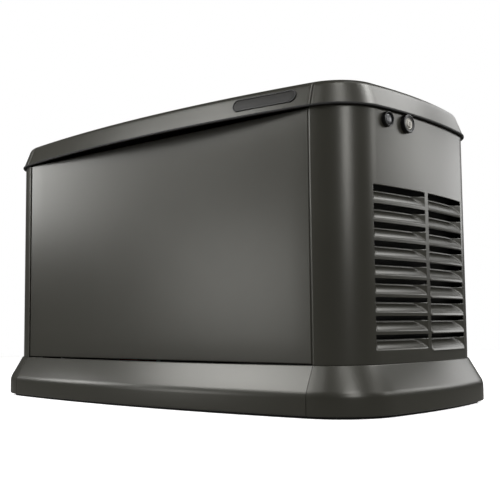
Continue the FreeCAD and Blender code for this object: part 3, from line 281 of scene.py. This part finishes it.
def finish(name, dark, light, grain, bump, rough, metallic=0.0, patch=120, mottle=0.5, ior=1.5, **sockets):
    """A surface finish: two close colours mixed by a broad mottle, a fine bump, and uneven roughness.

    grain and patch are the sizes of the fine bump and of the broad mottle in mm; bump is its height in mm.
    """
    material = bpy.data.materials.new(name)
    material.use_nodes = True
    tree = material.node_tree
    shader = tree.nodes["Principled BSDF"]
    place = add(tree, "TexCoord").outputs["Object"]
    broad = add(tree, "TexNoise", {"Vector": place, "Scale": 1 / (patch * MM), "Detail": 4.0,
                                   "Roughness": 0.6})
    fine = add(tree, "TexNoise", {"Vector": place, "Scale": 1 / (grain * MM), "Detail": 3.0,
                                  "Roughness": 0.55})
    spread = add(tree, "MapRange", {"Value": broad.outputs["Fac"], "From Min": 0.5 - mottle / 2,
                                    "From Max": 0.5 + mottle / 2})
    colour = add(tree, "Mix", {"Factor": spread.outputs["Result"], "A": linear(dark), "B": linear(light)},
                 data_type="RGBA")
    tree.links.new(colour.outputs["Result"], shader.inputs["Base Color"])
    uneven = add(tree, "MapRange", {"Value": fine.outputs["Fac"], "From Min": 0.3, "From Max": 0.7,
                                    "To Min": rough * 0.93, "To Max": rough * 1.07})
    tree.links.new(uneven.outputs["Result"], shader.inputs["Roughness"])
    relief = add(tree, "Bump", {"Height": fine.outputs["Fac"], "Strength": 1.0, "Distance": bump * MM})
    tree.links.new(relief.outputs["Normal"], shader.inputs["Normal"])
    shader.inputs["Metallic"].default_value = metallic
    if metallic < 1:
        shader.inputs["IOR"].default_value = ior
    for key, item in sockets.items():
        shader.inputs[key.replace("_", " ")].default_value = item
    return material


# Powder-coated steel, baked: a bronze-grey metallic coat with a faint orange-peel skin.
COAT = finish("bronze_grey_powder_coat", "#35342e", "#3a3933", 1.3, 0.012, 0.3, metallic=0.3, patch=260)
# Matt black powder coat on the tray and inner frame: no shine, slight tooth. Its black is partly the base's
# own colour and partly painted shade, kept dark for the shadowed sill ledge under the panels.
BLACK_COAT_AND_LEDGE_SHADE = finish("matt_black_coat_and_ledge_shade", "#17171a", "#1d1d1f", 0.9, 0.02, 0.62, patch=80)
# Zinc-plated sheet: pale spangle and soft sheen.
ZINC = finish("zinc_plated_sheet", "#8f9293", "#a9acac", 9, 0.01, 0.38, metallic=1.0, patch=30, mottle=0.3)
# Moulded composite ground pad: black, gritty.
COMPOSITE = finish("moulded_composite", "#161616", "#202020", 2.2, 0.15, 0.85, patch=60)
# ABS mouldings, spark-eroded texture, black. On the plaque's rim the black is also painted shadow of the gap
# round the plaque.
ABS = finish("textured_black_abs", "#131314", "#191919", 0.8, 0.03, 0.5, patch=50)
# Black acetal, moulded with a gloss, for the lock and lamp rings.
ACETAL = finish("gloss_black_acetal", "#0b0b0c", "#101011", 2.5, 0.003, 0.3, patch=20)
# Smoked polycarbonate lens: dark with a grey bloom.
SMOKED = finish("smoked_polycarbonate", "#303133", "#3b3c3e", 3, 0.003, 0.28, patch=12, ior=1.58)
# BLACK_RUBBER_AND_SHADE rubber: matt, powdery. The same near-black also paints the keyhole's shade on the
# lock cores and the shadow on the strip under the lid's hem.
BLACK_RUBBER_AND_SHADE = finish("epdm_rubber_and_painted_shade", "#0d0d0d", "#151515", 0.7, 0.02, 0.78, patch=40)
# Nickel-plated lock core: satin, dulled by handling.
NICKEL = finish("satin_nickel_plate", "#9a9893", "#a8a6a0", 1.2, 0.004, 0.6, metallic=1.0, patch=15)
# Die-cast aluminium: grainy, dull.
CASTING = finish("die_cast_aluminium", "#8e908f", "#a3a5a3", 1.4, 0.06, 0.5, metallic=0.9, patch=25)
# Cast iron with a thin coat of black engine paint.
IRON = finish("painted_cast_iron", "#2a2b2c", "#353637", 1.8, 0.12, 0.58, metallic=0.3, patch=30)
# Cold-rolled steel, oiled.
STEEL = finish("cold_rolled_steel", "#77787a", "#8c8d8e", 1.5, 0.01, 0.35, metallic=1.0, patch=30)
# Aluminised exhaust sheet with a straw heat tint.
EXHAUST = finish("aluminised_exhaust_sheet", "#8b8577", "#a09a8c", 3, 0.03, 0.45, metallic=0.95, patch=60)
# Varnished copper and lamination edges.
WINDING = finish("varnished_copper_winding", "#6b3a1f", "#8a5230", 1.2, 0.12, 0.42, metallic=0.6, patch=8)
# Control fascia: moulded grey polycarbonate.
FASCIA = finish("moulded_grey_polycarbonate", "#3c3f42", "#44474a", 0.6, 0.015, 0.48, patch=60)
# Green push-button: moulded polycarbonate, lightly glossy.
GREEN = finish("green_button_moulding", "#1f6b2a", "#2a7d36", 0.6, 0.01, 0.35, patch=10)
# Red push-button: the same moulding.
RED = finish("red_button_moulding", "#8a1712", "#9c221b", 0.6, 0.01, 0.35, patch=10)
# Blue push-button: the same moulding.
BLUE = finish("blue_button_moulding", "#1c3f8a", "#27509c", 0.6, 0.01, 0.35, patch=10)
# Plaque face: charcoal acrylic, satin and duller than the lid's coat.
PLAQUE = finish("charcoal_acrylic", "#201f1d", "#242321", 1.0, 0.004, 0.55, patch=30, Specular_IOR_Level=0.25)
# Oil filter can: drawn steel in red baked enamel, glossy.
FILTER_RED = finish("red_baked_enamel", "#8f1510", "#a11d16", 1.2, 0.004, 0.25, patch=30)
# Dipstick grip: yellow moulded nylon.
YELLOW = finish("yellow_nylon_moulding", "#c98b10", "#d79a1c", 0.7, 0.02, 0.4, patch=10)

BY_SLOT = {
    "shell_paint": COAT, "base_paint": BLACK_COAT_AND_LEDGE_SHADE, "frame_zinc": ZINC, "pad_composite": COMPOSITE,
    "black_plastic": ABS, "gloss_black": ACETAL, "lens_smoke": SMOKED, "rubber": BLACK_RUBBER_AND_SHADE, "lock_steel": NICKEL,
    "cast_alloy": CASTING, "engine_iron": IRON, "steel_plain": STEEL, "aluminised": EXHAUST,
    "copper_wound": WINDING, "panel_grey": FASCIA, "button_green": GREEN, "button_red": RED,
    "button_blue": BLUE, "plaque": PLAQUE, "oil_red": FILTER_RED, "yellow_cap": YELLOW, "red_handle": ABS,
}
for entry in frame["record"]["subparts"]:
    node = frame["nodes"][entry["node"]]
    for socket in node.material_slots:
        socket.material = BY_SLOT[entry["material_slot"]]

# ------------------------------------------------------------------ skirt
SKIRT_OUT, SKIRT_LOW, SHOULDER, SKIRT_TOP, SKIRT_WALL = 35.3 * MM, 6 * MM, 49 * MM, 105.7 * MM, 3 * MM
SKIRT_HEM, HEM_THICK, SLOPE_TOP, CURL = 7 * MM, 2 * MM, 3 * MM, 2.6 * MM
SKIRT_ROUNDS = (2.5 * MM, 9 * MM, 1.6 * MM)
SKIRT_SEAM = front_distance(494 * MM)
SKIRT_GAP = 0.5 * MM
SKIRT_STEP = 9 * MM


def skirt_piece(name, start, stop, node):
    """Wrap carried along the plan: a hemmed band, a rolled shoulder and a slope that curls in at the top.

    The section is a closed loop, outside going up and inside coming down.
    """
    hem, inner = SKIRT_OUT - SKIRT_HEM, SKIRT_OUT - SKIRT_WALL
    outside = round_profile([(hem, SKIRT_LOW), (SKIRT_OUT, SKIRT_LOW), (SKIRT_OUT, SHOULDER),
                             (SLOPE_TOP, SKIRT_TOP), (SLOPE_TOP - CURL, SKIRT_TOP)], SKIRT_ROUNDS, 9)
    inside = np.array([(SLOPE_TOP - CURL, SKIRT_TOP - HEM_THICK), (inner, SHOULDER),
                       (inner, SKIRT_LOW + HEM_THICK), (hem, SKIRT_LOW + HEM_THICK)])
    loop = np.concatenate([outside, inside])
    along = np.linspace(start, stop, max(int((stop - start) / SKIRT_STEP), 24))[:, None]
    piece = swept(name, lifted(along, loop[None, :, 0], loop[None, :, 1]), sharp=50)
    return settle(piece, COAT, "base", "shell_paint", node)


for side, start, stop, node in (
        ("front", -SKIRT_SEAM, SKIRT_SEAM, "skirt_front"),
        ("rear", HALF_ROUND - SKIRT_SEAM, HALF_ROUND + SKIRT_SEAM, "skirt_rear"),
        ("right", SKIRT_SEAM, HALF_ROUND - SKIRT_SEAM, "skirt_right_end"),
        ("left", HALF_ROUND + SKIRT_SEAM, 2 * HALF_ROUND - SKIRT_SEAM, "skirt_left_end")):
    skirt_piece(f"skirt_{side}_wrap", start + SKIRT_GAP, stop - SKIRT_GAP, node)

# ------------------------------------------------------------------ end panels with pressed louvres
WALL_LOW, WALL_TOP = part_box("right_end_panel")[0].z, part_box("right_end_panel")[1].z
PANEL_SEAM = front_distance(SEAM + 1 * MM)
PANEL_SHEET = 1.6 * MM
ROW_FIRST, ROW_PITCH, ROW_HIGH, ROWS = 135 * MM, 39.2 * MM, 32 * MM, 9
COLUMNS = ((-200 * MM, -13 * MM), (1 * MM, 182 * MM))
SCOOP_DEEP, FRONT_END, REAR_END = 15 * MM, 14 * MM, 34 * MM
FACE_HIGH, BAND_HIGH, FACE_CURVE = 19 * MM, 6 * MM, 1.3
LIP_LOW, LIP_TALL, LIP_OUT, LIP_CREST, LIP_CURVE = 7.2 * MM, 8 * MM, 3.2 * MM, 0.2, 0.6
# These keep a comparison of heights clear of a row of points; a slot's top takes a little more.
EASE, SLOT_EASE = 0.5 * MM, 0.7 * MM
# Heights of the rows of points over one louvre, from its lower edge: closest where the relief turns.
LOUVRE_ROWS = np.array([-7.2, -6.6, -5.4, -3.8, -2.0, -0.6, 0.6, 2.2, 4.2, 7, 10, 13, 16, 18, 19, 19.8, 22.0,
                        24.6, 25, 27.5, 31.0, 31.6]) * MM
PLAIN_STEPS, LOUVRE_STEPS, RIDGE_STEP = 150, 60, 0.8 * MM


def levels():
    """Heights of the panel's rows of points: plain steps above and below, close steps over each louvre."""
    stack = [ROW_FIRST + k * ROW_PITCH + LOUVRE_ROWS for k in range(ROWS)]
    below = np.linspace(WALL_LOW, ROW_FIRST - 9 * MM, 6)
    above = np.linspace(ROW_FIRST + ROWS * ROW_PITCH - 6 * MM, WALL_TOP, 16)
    return np.concatenate([below, *stack, above])


def louvre_relief(shift, level):
    """Depth of the pressing, and where the sheet is cut through.

    A scoop's depth is the lesser of a face that leans in going up, ending in an upright band, and two flat
    end facets, so each facet meets the face along a diagonal ridge. The strip between rows swells out by a
    few mm just above its lower edge and falls back to the wall as it rises, which makes the lip.
    """
    row = np.floor((level - ROW_FIRST + LIP_LOW + 0.1 * MM) / ROW_PITCH)
    up = level - ROW_FIRST - row * ROW_PITCH
    in_rows = (row >= 0) & (row < ROWS)
    face = SCOOP_DEEP * np.clip((up + EASE) / FACE_HIGH, 0, 1) ** FACE_CURVE
    climb = np.clip((up + LIP_LOW) / LIP_TALL, 0, 1)
    roll = np.minimum(climb / LIP_CREST, 1) ** LIP_CURVE * (1 - climb) * LIP_OUT
    depth = np.zeros(np.broadcast(shift, level).shape)
    slot = np.zeros(depth.shape, dtype=bool)
    for low, high in COLUMNS:
        reach = np.clip(np.minimum((shift - low) / FRONT_END, (high - shift) / REAR_END), 0, 1)
        scoop = np.minimum(face, SCOOP_DEEP * reach) * (reach > 0) * in_rows * (up < ROW_HIGH - EASE)
        depth = np.maximum(depth, scoop)
        inside = smoothstep(0, 6 * MM, np.minimum(shift - low, high - shift))
        depth = np.where((scoop == 0) & in_rows & (up < 1 * MM), depth - roll * inside, depth)
        slot |= in_rows & (up > FACE_HIGH + BAND_HIGH - EASE) & (up < ROW_HIGH - SLOT_EASE) & (reach > 0.02)
    return depth, slot


def end_panel(name, middle, node):
    """End wall round both corners: the plan's curve carried up, pressed in by the louvres' relief."""
    half = HALF_ROUND / 2 - PANEL_SEAM
    ridges = [edge for low, high in COLUMNS for edge in (low, low + FRONT_END, high - REAR_END, high)]
    plain = np.linspace(-half, half, PLAIN_STEPS)
    extra = np.concatenate([[edge - RIDGE_STEP, edge, edge + RIDGE_STEP] for edge in ridges])
    dense = np.concatenate([np.linspace(low, high, LOUVRE_STEPS) for low, high in COLUMNS])
    shift = np.unique(np.round(np.concatenate([plain, extra, dense]), 5))
    level = levels()
    depth, slot = louvre_relief(shift[None, :], level[:, None])
    sign = 1 if middle == QUARTER else -1
    spots = lifted(middle + sign * shift[None, :], -depth, level[:, None])
    keep = ~(slot[:-1, :-1] | slot[1:, 1:] | slot[:-1, 1:] | slot[1:, :-1])
    faces = grid_faces(len(level), len(shift), keep=keep, flip=sign < 0)
    piece = sheet_metal(build(name, spots, faces, sharp=32), PANEL_SHEET)
    return settle(piece, COAT, "base", "shell_paint", node)


end_panel("right_end_pressing", QUARTER, "right_end_panel")
end_panel("left_end_pressing", 3 * QUARTER, "left_end_panel")

# ------------------------------------------------------------------ front panel
CROWN = 1.5 * MM
FLANGE, FOLD_ROUND, FOLD_RUN = 18 * MM, 3.2 * MM, 60 * MM


def folded_run(low, high, between):
    """Positions and depths over one width of a folded sheet.

    They run down a flange, round a fold and over the face, and then the same again at the far edge.
    """
    fold = round_profile([(0, FLANGE), (0, 0), (FOLD_RUN, 0)], (FOLD_ROUND,), 10)[:-1]
    spots = np.concatenate([low + fold[:, 0], np.linspace(low + FOLD_RUN, high - FOLD_RUN, between),
                            (high - fold[:, 0])[::-1]])
    return spots, np.concatenate([fold[:, 1], np.zeros(between), fold[::-1, 1]])


def folded_panel(name, node, body):
    """Flat sheet folded back on all four sides.

    Its depth at a point is the greater of the two folds' depths, less a crown that falls with the square of
    the distance from the middle both ways.
    """
    low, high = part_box(node)
    across, side_fold = folded_run(low.x, high.x, 60)
    up, level_fold = folded_run(low.z, high.z, 40)
    middle, half = (low.z + high.z) / 2, (high.z - low.z) / 2
    swell = CROWN * (1 - (across[None, :] / high.x) ** 2) * (1 - ((up[:, None] - middle) / half) ** 2)
    depth = low.y + CROWN - swell + np.maximum(side_fold[None, :], level_fold[:, None])
    spots = np.stack(np.broadcast_arrays(across[None, :], depth, up[:, None]), -1)
    panel = sheet_metal(build(name, spots, grid_faces(len(up), len(across)), sharp=50), PANEL_SHEET)
    return settle(panel, COAT, body, "shell_paint", node)


folded_panel("front_access_panel", "front_panel", "access_panel")

# ------------------------------------------------------------------ lock and lamp
FITTING_LEVEL, LOCK_SHIFT, LAMP_SHIFT = 624 * MM, -83 * MM, -153 * MM
# Sections in mm: corners as (radius, height off the wall), how far each inner corner is rounded, and the
# steps in each rounding.
LOCK_RING = ([(13.3, -1), (13.3, 8.4), (14.2, 9.4), (16.6, 9.0), (17.6, 10.9), (20.5, 10.4), (20.5, -1)],
             (0.6, 0.5, 0.5, 0.8, 1.4), 5)
LOCK_CORE = ([(0.02, -16), (12.9, -16), (12.9, 8.2), (11.6, 9.4), (9.6, 8.0), (8.2, 10.6), (0.02, 10.9)],
             (0.4, 0.8, 0.6, 0.8, 0.8), 5)
LAMP_RING = ([(12.6, -1), (12.6, 7.0), (13.6, 9.2), (15.2, 10.2), (16.2, 8.6), (16.8, -1)],
             (0.5, 1, 0.8, 0.8), 5)
LAMP_DOME = ([(0.02, -11), (12.4, -11), (12.4, 5.6), (9, 8.2), (0.02, 8.6)], (0.5, 2.4, 4), 8)
CAM_HALF, CAM_LONG, CAM_BACK, CAM_FACE = 4.5 * MM, 20 * MM, -19 * MM, -16 * MM
# The keyhole is a flat black patch of painted shade: its width, height, corner rounding, and back and face
# heights.
SLOT_WIDE, SLOT_HIGH, SLOT_ROUND, SLOT_BACK, SLOT_FACE = 2.2 * MM, 8 * MM, 0.9 * MM, 10.2 * MM, 11 * MM


def end_spot(sign, shift):
    """Point and outward normal on an end wall at a distance along it from the middle, towards the rear."""
    angle = math.asin(shift / BOW_END)
    normal = np.array([sign * math.cos(angle), math.sin(angle), 0])
    return np.array([sign * (HALF_LENGTH - BOW_END), 0, FITTING_LEVEL]) + normal * BOW_END, normal


def fitting(name, section, centre, out, hollow=False):
    """Rounded section turned about the wall's normal; a hollow one closes on its own first point."""
    profile = round_profile(*section) * MM
    return turned(name, ring(profile) if hollow else profile, centre, out)


def end_lock(sign, side):
    """Lock in an end wall: a turned core with a cam behind it, and a flat black patch on its face, painted
    shade in the shape of a key slot.

    The cam is a half circle run out to a square end. The lock's bezel is returned, to be joined to the other.
    """
    centre, out = end_spot(sign, LOCK_SHIFT)
    along_wall, up = np.cross([0, 0, 1], out), [0, 0, 1]
    bezel = fitting(f"lock_bezel_{side}", LOCK_RING, centre, out, hollow=True)
    core = paint(fitting(f"lock_core_{side}", LOCK_CORE, centre, out), NICKEL)
    turn = np.linspace(math.pi / 2, 3 * math.pi / 2, 14)
    shape = np.concatenate([np.stack([np.cos(turn), np.sin(turn)], -1) * CAM_HALF,
                            np.array([[CAM_LONG, -CAM_HALF], [CAM_LONG, CAM_HALF]])])
    cam = paint(slab("cam", shape, centre, along_wall, up, CAM_BACK, CAM_FACE), STEEL)
    # The key slot is not cut: this thin black plate on the core's face is painted shade in the keyhole's
    # shape.
    key = paint(slab("keyhole_painted_shade", rounded(SLOT_WIDE, SLOT_HIGH, SLOT_ROUND), centre, along_wall, up, SLOT_BACK,
                     SLOT_FACE, 0.2 * MM), BLACK_RUBBER_AND_SHADE)
    settle(joined(f"lock_barrel_{side}_turned", core, cam, key), None, f"lock_{side}", "lock_steel",
           f"lock_barrel_{side}")
    return bezel


bezels = [end_lock(1, "right"), end_lock(-1, "left")]
settle(joined("lock_bezel_pair", *bezels), ACETAL, "base", "gloss_black", "lock_bezels")

lamp_spot = end_spot(1, LAMP_SHIFT)
settle(fitting("lamp_hood", LAMP_RING, *lamp_spot, hollow=True), ACETAL, "base", "gloss_black", "lamp_bezel")
settle(fitting("lamp_lens_moulding", LAMP_DOME, *lamp_spot), SMOKED, "base", "lens_smoke", "lamp_lens")

# ------------------------------------------------------------------ lid
LID_LOW, LID_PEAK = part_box("lid_roof")[0].z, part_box("lid_roof")[1].z
LID_OUT, LID_LEAN, RIM, LID_SHEET = 6 * MM, 20 / 53, 702 * MM, 2 * MM
HIP_SLOPE, HIP_SOFT = 30 / 96, 5 * MM
ROOF_BOW_X, ROOF_BOW_Y = 9.5, 4.5
LID_SEAM, LID_GAP = 498 * MM, 0.7 * MM
EDGE_REACH = 10 * MM
HEM_ROWS, FASCIA_START = np.array([0, 1.2, 2.4]) * MM, 8 * MM


def roof(spot, inset):
    """Height of the roof: the softened lesser of a crown bowed both ways and a hip rising from the rim."""
    across = np.sqrt(ROOF_BOW_Y ** 2 - spot[..., 1] ** 2) - ROOF_BOW_Y
    crown = np.sqrt((ROOF_BOW_X + across) ** 2 - spot[..., 0] ** 2) - ROOF_BOW_X + LID_PEAK
    hip = RIM + HIP_SLOPE * inset
    return (crown + hip - np.sqrt((crown - hip) ** 2 + HIP_SOFT ** 2)) / 2


def fascia_grow(level):
    """How far the leaning fascia stands out from the plan at a level."""
    return LID_OUT - LID_LEAN * (level - LID_LOW)


def lid_profile(along, target, steps=30):
    """Sections of the lid from the hem up the leaning fascia, over a rounded rim and across the roof.

    Each section follows the plan's normal as far as the rim, then runs straight in plan to its target.
    """
    point, normal = plan(along)
    fascia_rows = np.concatenate([LID_LOW + HEM_ROWS,
                                  np.linspace(LID_LOW + FASCIA_START, RIM - EDGE_REACH, 7)])
    fascia = lifted(along[:, None], fascia_grow(fascia_rows)[None], fascia_rows[None])
    edge_grow = fascia_grow(RIM)
    start = fascia[:, -1]
    edge = lifted(along, edge_grow, RIM)
    inner = point + normal * (edge_grow - EDGE_REACH)
    way = np.linalg.norm(target - inner, axis=1)
    stop = np.concatenate([inner, roof(inner, np.full(len(along), EDGE_REACH))[:, None]], -1)
    t = np.linspace(0, 1, 10)[None, 1:, None]
    rolled = (1 - t) ** 2 * start[:, None] + 2 * t * (1 - t) * edge[:, None] + t ** 2 * stop[:, None]
    t = np.linspace(0, 1, steps)[None, 1:, None] ** 1.4
    over = inner[:, None] * (1 - t) + target[:, None] * t
    high = roof(over, EDGE_REACH + way[:, None] * t[..., 0])
    return np.concatenate([fascia, rolled, np.concatenate([over, high[..., None]], -1)], 1)


def lid_piece(name, sections, node, mirrored=False):
    """A part of the lid from its sections, with its wall; a mirrored one has its faces turned over."""
    rows, columns = sections.shape[:2]
    sheet = build(name, sections, grid_faces(rows, columns, flip=not mirrored), sharp=45, merge=2e-5)
    return settle(sheet_metal(sheet, LID_SHEET), COAT, "lid", "shell_paint", node)


def roof_sheet(name, node, count=120):
    """Middle of the lid: sections run from the front's plan to the long mid line, and mirror to the rear."""
    reach = front_distance(LID_SEAM - LID_GAP)
    along = np.linspace(-reach, reach, count)
    mid_line = np.stack([plan(along)[0][:, 0], np.zeros(count)], -1)
    front_half = lid_profile(along, mid_line)
    rear_half = front_half * np.array([1, -1, 1])
    return lid_piece(name, np.concatenate([front_half, rear_half[:, -2::-1]], 1), node)


def end_cap(name, sign, node, count=150):
    """End of the lid: sections fan in from the plan round the end to the middle of the seam."""
    start = front_distance(LID_SEAM + LID_GAP)
    target = np.tile([LID_SEAM + LID_GAP, 0], (count, 1))
    sections = lid_profile(np.linspace(start, HALF_ROUND - start, count), target) * np.array([sign, 1, 1])
    return lid_piece(name, sections, node, mirrored=sign < 0)


roof_sheet("lid_roof_sheet", "lid_roof")
end_cap("lid_cap_right", 1, "lid_end_cap_right")
end_cap("lid_cap_left", -1, "lid_end_cap_left")

# ------------------------------------------------------------------ plaque, and the hem's strip of painted shadow
PLAQUE_MID, PLAQUE_LEVEL, PLAQUE_HALF, PLAQUE_ROUND = 378 * MM, 677 * MM, 83 * MM, 14.5 * MM
PLAQUE_AROUND = 96
# Sections in mm: corners as (reach in from the outline, rise off the fascia), and each corner's rounding.
PLAQUE_RIM = ([(0, -1), (0, 3), (2.4, 3), (3.0, 1.2)], (0.9, 0.7))
PLAQUE_FACE = ([(2.9, 1.3), (5, 1.8), (14.48, 2.5)], (0.8,))
# The strip under the hem stands for the hem's lip, and its black is painted shadow of the gap beneath the
# lid.
EDGING_IN, EDGING_OUT = LID_OUT - 4 * MM, LID_OUT + 2 * MM
EDGING_LOW, EDGING_HIGH = LID_LOW - 3.4 * MM, LID_LOW + 1.2 * MM
EDGING_ROUND, EDGING_STEPS = 1.5 * MM, 420


def plaque_part(name, section, material):
    """One part of a pill-shaped plaque, laid over the fascia's own bow.

    Each point of the section makes a ring: the pill's outline, two half circles and the straights between
    them, drawn in by the point's reach and stood off the fascia by its rise.
    """
    reach, rise = (round_profile(*section, 5) * MM).T[..., None]
    turn = np.linspace(0, 2 * math.pi, PLAQUE_AROUND, endpoint=False)
    radius = PLAQUE_ROUND - reach
    across = np.cos(turn) * radius + np.sign(np.cos(turn)) * (PLAQUE_HALF - PLAQUE_ROUND)
    level = PLAQUE_LEVEL + np.sin(turn) * radius
    spots = lifted(front_distance(PLAQUE_MID) + across, fascia_grow(level) + rise, level)
    faces = grid_faces(len(reach), PLAQUE_AROUND, closed_columns=True)
    return paint(build(name, spots, faces, sharp=50, merge=1e-4), material)


def hem_lip_and_shadow(name):
    """Black strip under the lid's hem, a small box section rounded outside and carried right round the plan:
    the hem's lip, black as painted shadow of the gap beneath the lid.
    """
    loop = round_profile([(EDGING_IN, EDGING_LOW), (EDGING_OUT, EDGING_LOW), (EDGING_OUT, EDGING_HIGH),
                          (EDGING_IN, EDGING_HIGH)], (EDGING_ROUND, EDGING_ROUND), 5)
    along = np.linspace(0, 4 * QUARTER, EDGING_STEPS, endpoint=False)[:, None]
    spots = lifted(along, loop[None, :, 0], loop[None, :, 1])
    faces = grid_faces(EDGING_STEPS, len(loop), closed_rows=True, closed_columns=True)
    return settle(build(name, spots, faces, sharp=60, outward=True), BLACK_RUBBER_AND_SHADE, "lid", "rubber")


# The rim's black is painted shadow of the dark gap round the plaque; the charcoal face is the plaque's own
# colour.
plaque_rim_painted_shadow = plaque_part("plaque_rim_painted_shadow", PLAQUE_RIM, ABS)
plaque_face = plaque_part("plaque_face", PLAQUE_FACE, PLAQUE)
settle(joined("blank_plaque", plaque_rim_painted_shadow, plaque_face), None, "lid", "plaque", "lid_badge")
# A black strip under the hem: painted shadow of the gap beneath the lid, on the hem's lip.
hem_lip_and_shadow("lid_hem_lip_and_shadow")

# ------------------------------------------------------------------ lights, world, floor and camera
# Bearing and elevation in degrees, power in watts, and width in metres.
SOFTBOXES = (
    (-46, 44, 6, 0.8), (-38, 46, 4, 0.8), (35, 54, 2, 0.8), (0, 46, 8, 0.8), (-34, 1, 12, 0.8),
    (-60, 13, 22, 0.8), (58, 14, 22, 0.8), (58, 34, 32, 0.8), (54, 56, 17, 0.8), (98, 28, 6, 0.8),
    (120, 46, 38, 0.8), (112, 15, 12, 0.8), (135, 14, 14, 1.2), (156, 10, 14, 1.8), (172, 28, 7, 1.4),
    (145, 38, 22, 1.6), (-20, 30, 10, 0.8), (-42, 16, 2, 0.8), (110, 68, 5, 0.8),
)
CAMERA_AT, CAMERA_LENS = (1.5521, -1.7123, 0.1922), 61.83
CAMERA_YAW, CAMERA_PITCH, CAMERA_ROLL = (math.radians(angle) for angle in (40.66, 4.91, -0.57))


def softbox(name, bearing, elevation, power, wide=0.8, away=3.8, at=(0, 0, 0.4), tall=0.8):
    """Rectangular light placed by compass bearing (0 is the front, 90 is +X) and elevation in degrees."""
    data = bpy.data.lights.new(name, "AREA")
    data.shape, data.size, data.size_y, data.energy = "RECTANGLE", wide, tall, power
    lamp = bpy.data.objects.new(name, data)
    bpy.context.collection.objects.link(lamp)
    turn, rise = math.radians(bearing), math.radians(elevation)
    toward = Vector((math.sin(turn) * math.cos(rise), -math.cos(turn) * math.cos(rise), math.sin(rise)))
    lamp.location = Vector(at) + away * toward
    lamp.rotation_mode = "QUATERNION"
    lamp.rotation_quaternion = (Vector(at) - lamp.location).to_track_quat("-Z", "Y")
    lamp.visible_camera = False
    return lamp


def studio_world():
    """White where the camera looks past the part, and a dim warm glow, stronger from below, as a light."""
    world = bpy.data.worlds.new("studio")
    bpy.context.scene.world = world
    world.use_nodes = True
    sky = world.node_tree
    backdrop = sky.nodes["Background"]
    backdrop.inputs["Color"].default_value = linear("#ffffff")
    backdrop.inputs["Strength"].default_value = 1.0
    way = add(sky, "SeparateXYZ", {0: add(sky, "TexCoord").outputs["Generated"]})
    bounce = add(sky, "MapRange", {"Value": way.outputs["Z"], "From Min": -0.12, "From Max": 0.0,
                                   "To Min": 0.3, "To Max": 0.06})
    dim = add(sky, "Background", {"Color": linear("#fffdf6"), "Strength": bounce.outputs["Result"]})
    eye = add(sky, "LightPath")
    both = add(sky, "MixShader", {0: eye.outputs["Is Camera Ray"], 1: dim.outputs[0], 2: backdrop.outputs[0]})
    sky.links.new(both.outputs[0], sky.nodes["World Output"].inputs["Surface"])


def studio_floor():
    """Pale round floor that glows a little, and that neither lights the part nor shows in it."""
    bpy.ops.mesh.primitive_circle_add(vertices=128, radius=3.6, fill_type="NGON")
    floor = bpy.context.object
    floor.name = "studio_floor"
    floor.data.materials.append(finish("pale_studio_floor", "#f2f2f0", "#f4f4f2", 3, 0.01, 0.9, patch=900,
                                       Emission_Color=linear("#ffffff"), Emission_Strength=0.7))
    floor.visible_glossy = floor.visible_diffuse = False


def studio_camera():
    """Camera off the right front corner, turned by yaw from +Y towards -X, then pitch up, then roll."""
    level_right = Vector((math.cos(CAMERA_YAW), math.sin(CAMERA_YAW), 0))
    level_ahead = Vector((-math.sin(CAMERA_YAW), math.cos(CAMERA_YAW), 0))
    ahead = math.cos(CAMERA_PITCH) * level_ahead + Vector((0, 0, math.sin(CAMERA_PITCH)))
    upward = level_right.cross(ahead)
    right = math.cos(CAMERA_ROLL) * level_right + math.sin(CAMERA_ROLL) * upward
    upward = -math.sin(CAMERA_ROLL) * level_right + math.cos(CAMERA_ROLL) * upward
    lens = bpy.data.cameras.new("camera")
    lens.lens, lens.sensor_width, lens.clip_end = CAMERA_LENS, 36, 60
    camera = bpy.data.objects.new("camera", lens)
    bpy.context.collection.objects.link(camera)
    camera.matrix_world = Matrix([*zip(right, upward, -ahead, CAMERA_AT), (0, 0, 0, 1)])
    bpy.context.scene.camera = camera
    bpy.context.scene.view_settings.view_transform = "Standard"


for k, settings in enumerate(SOFTBOXES):
    softbox(f"softbox_{k}", *settings)
softbox("skirt_glow_left", -52, 39, 14, 0.8, 2.4, (0.2, -0.35, 0.08), 0.6)
softbox("skirt_glow_right", -39, 45, 13, 0.8, 2.4, (0.46, -0.34, 0.08), 0.6)
studio_world()
studio_floor()
studio_camera()
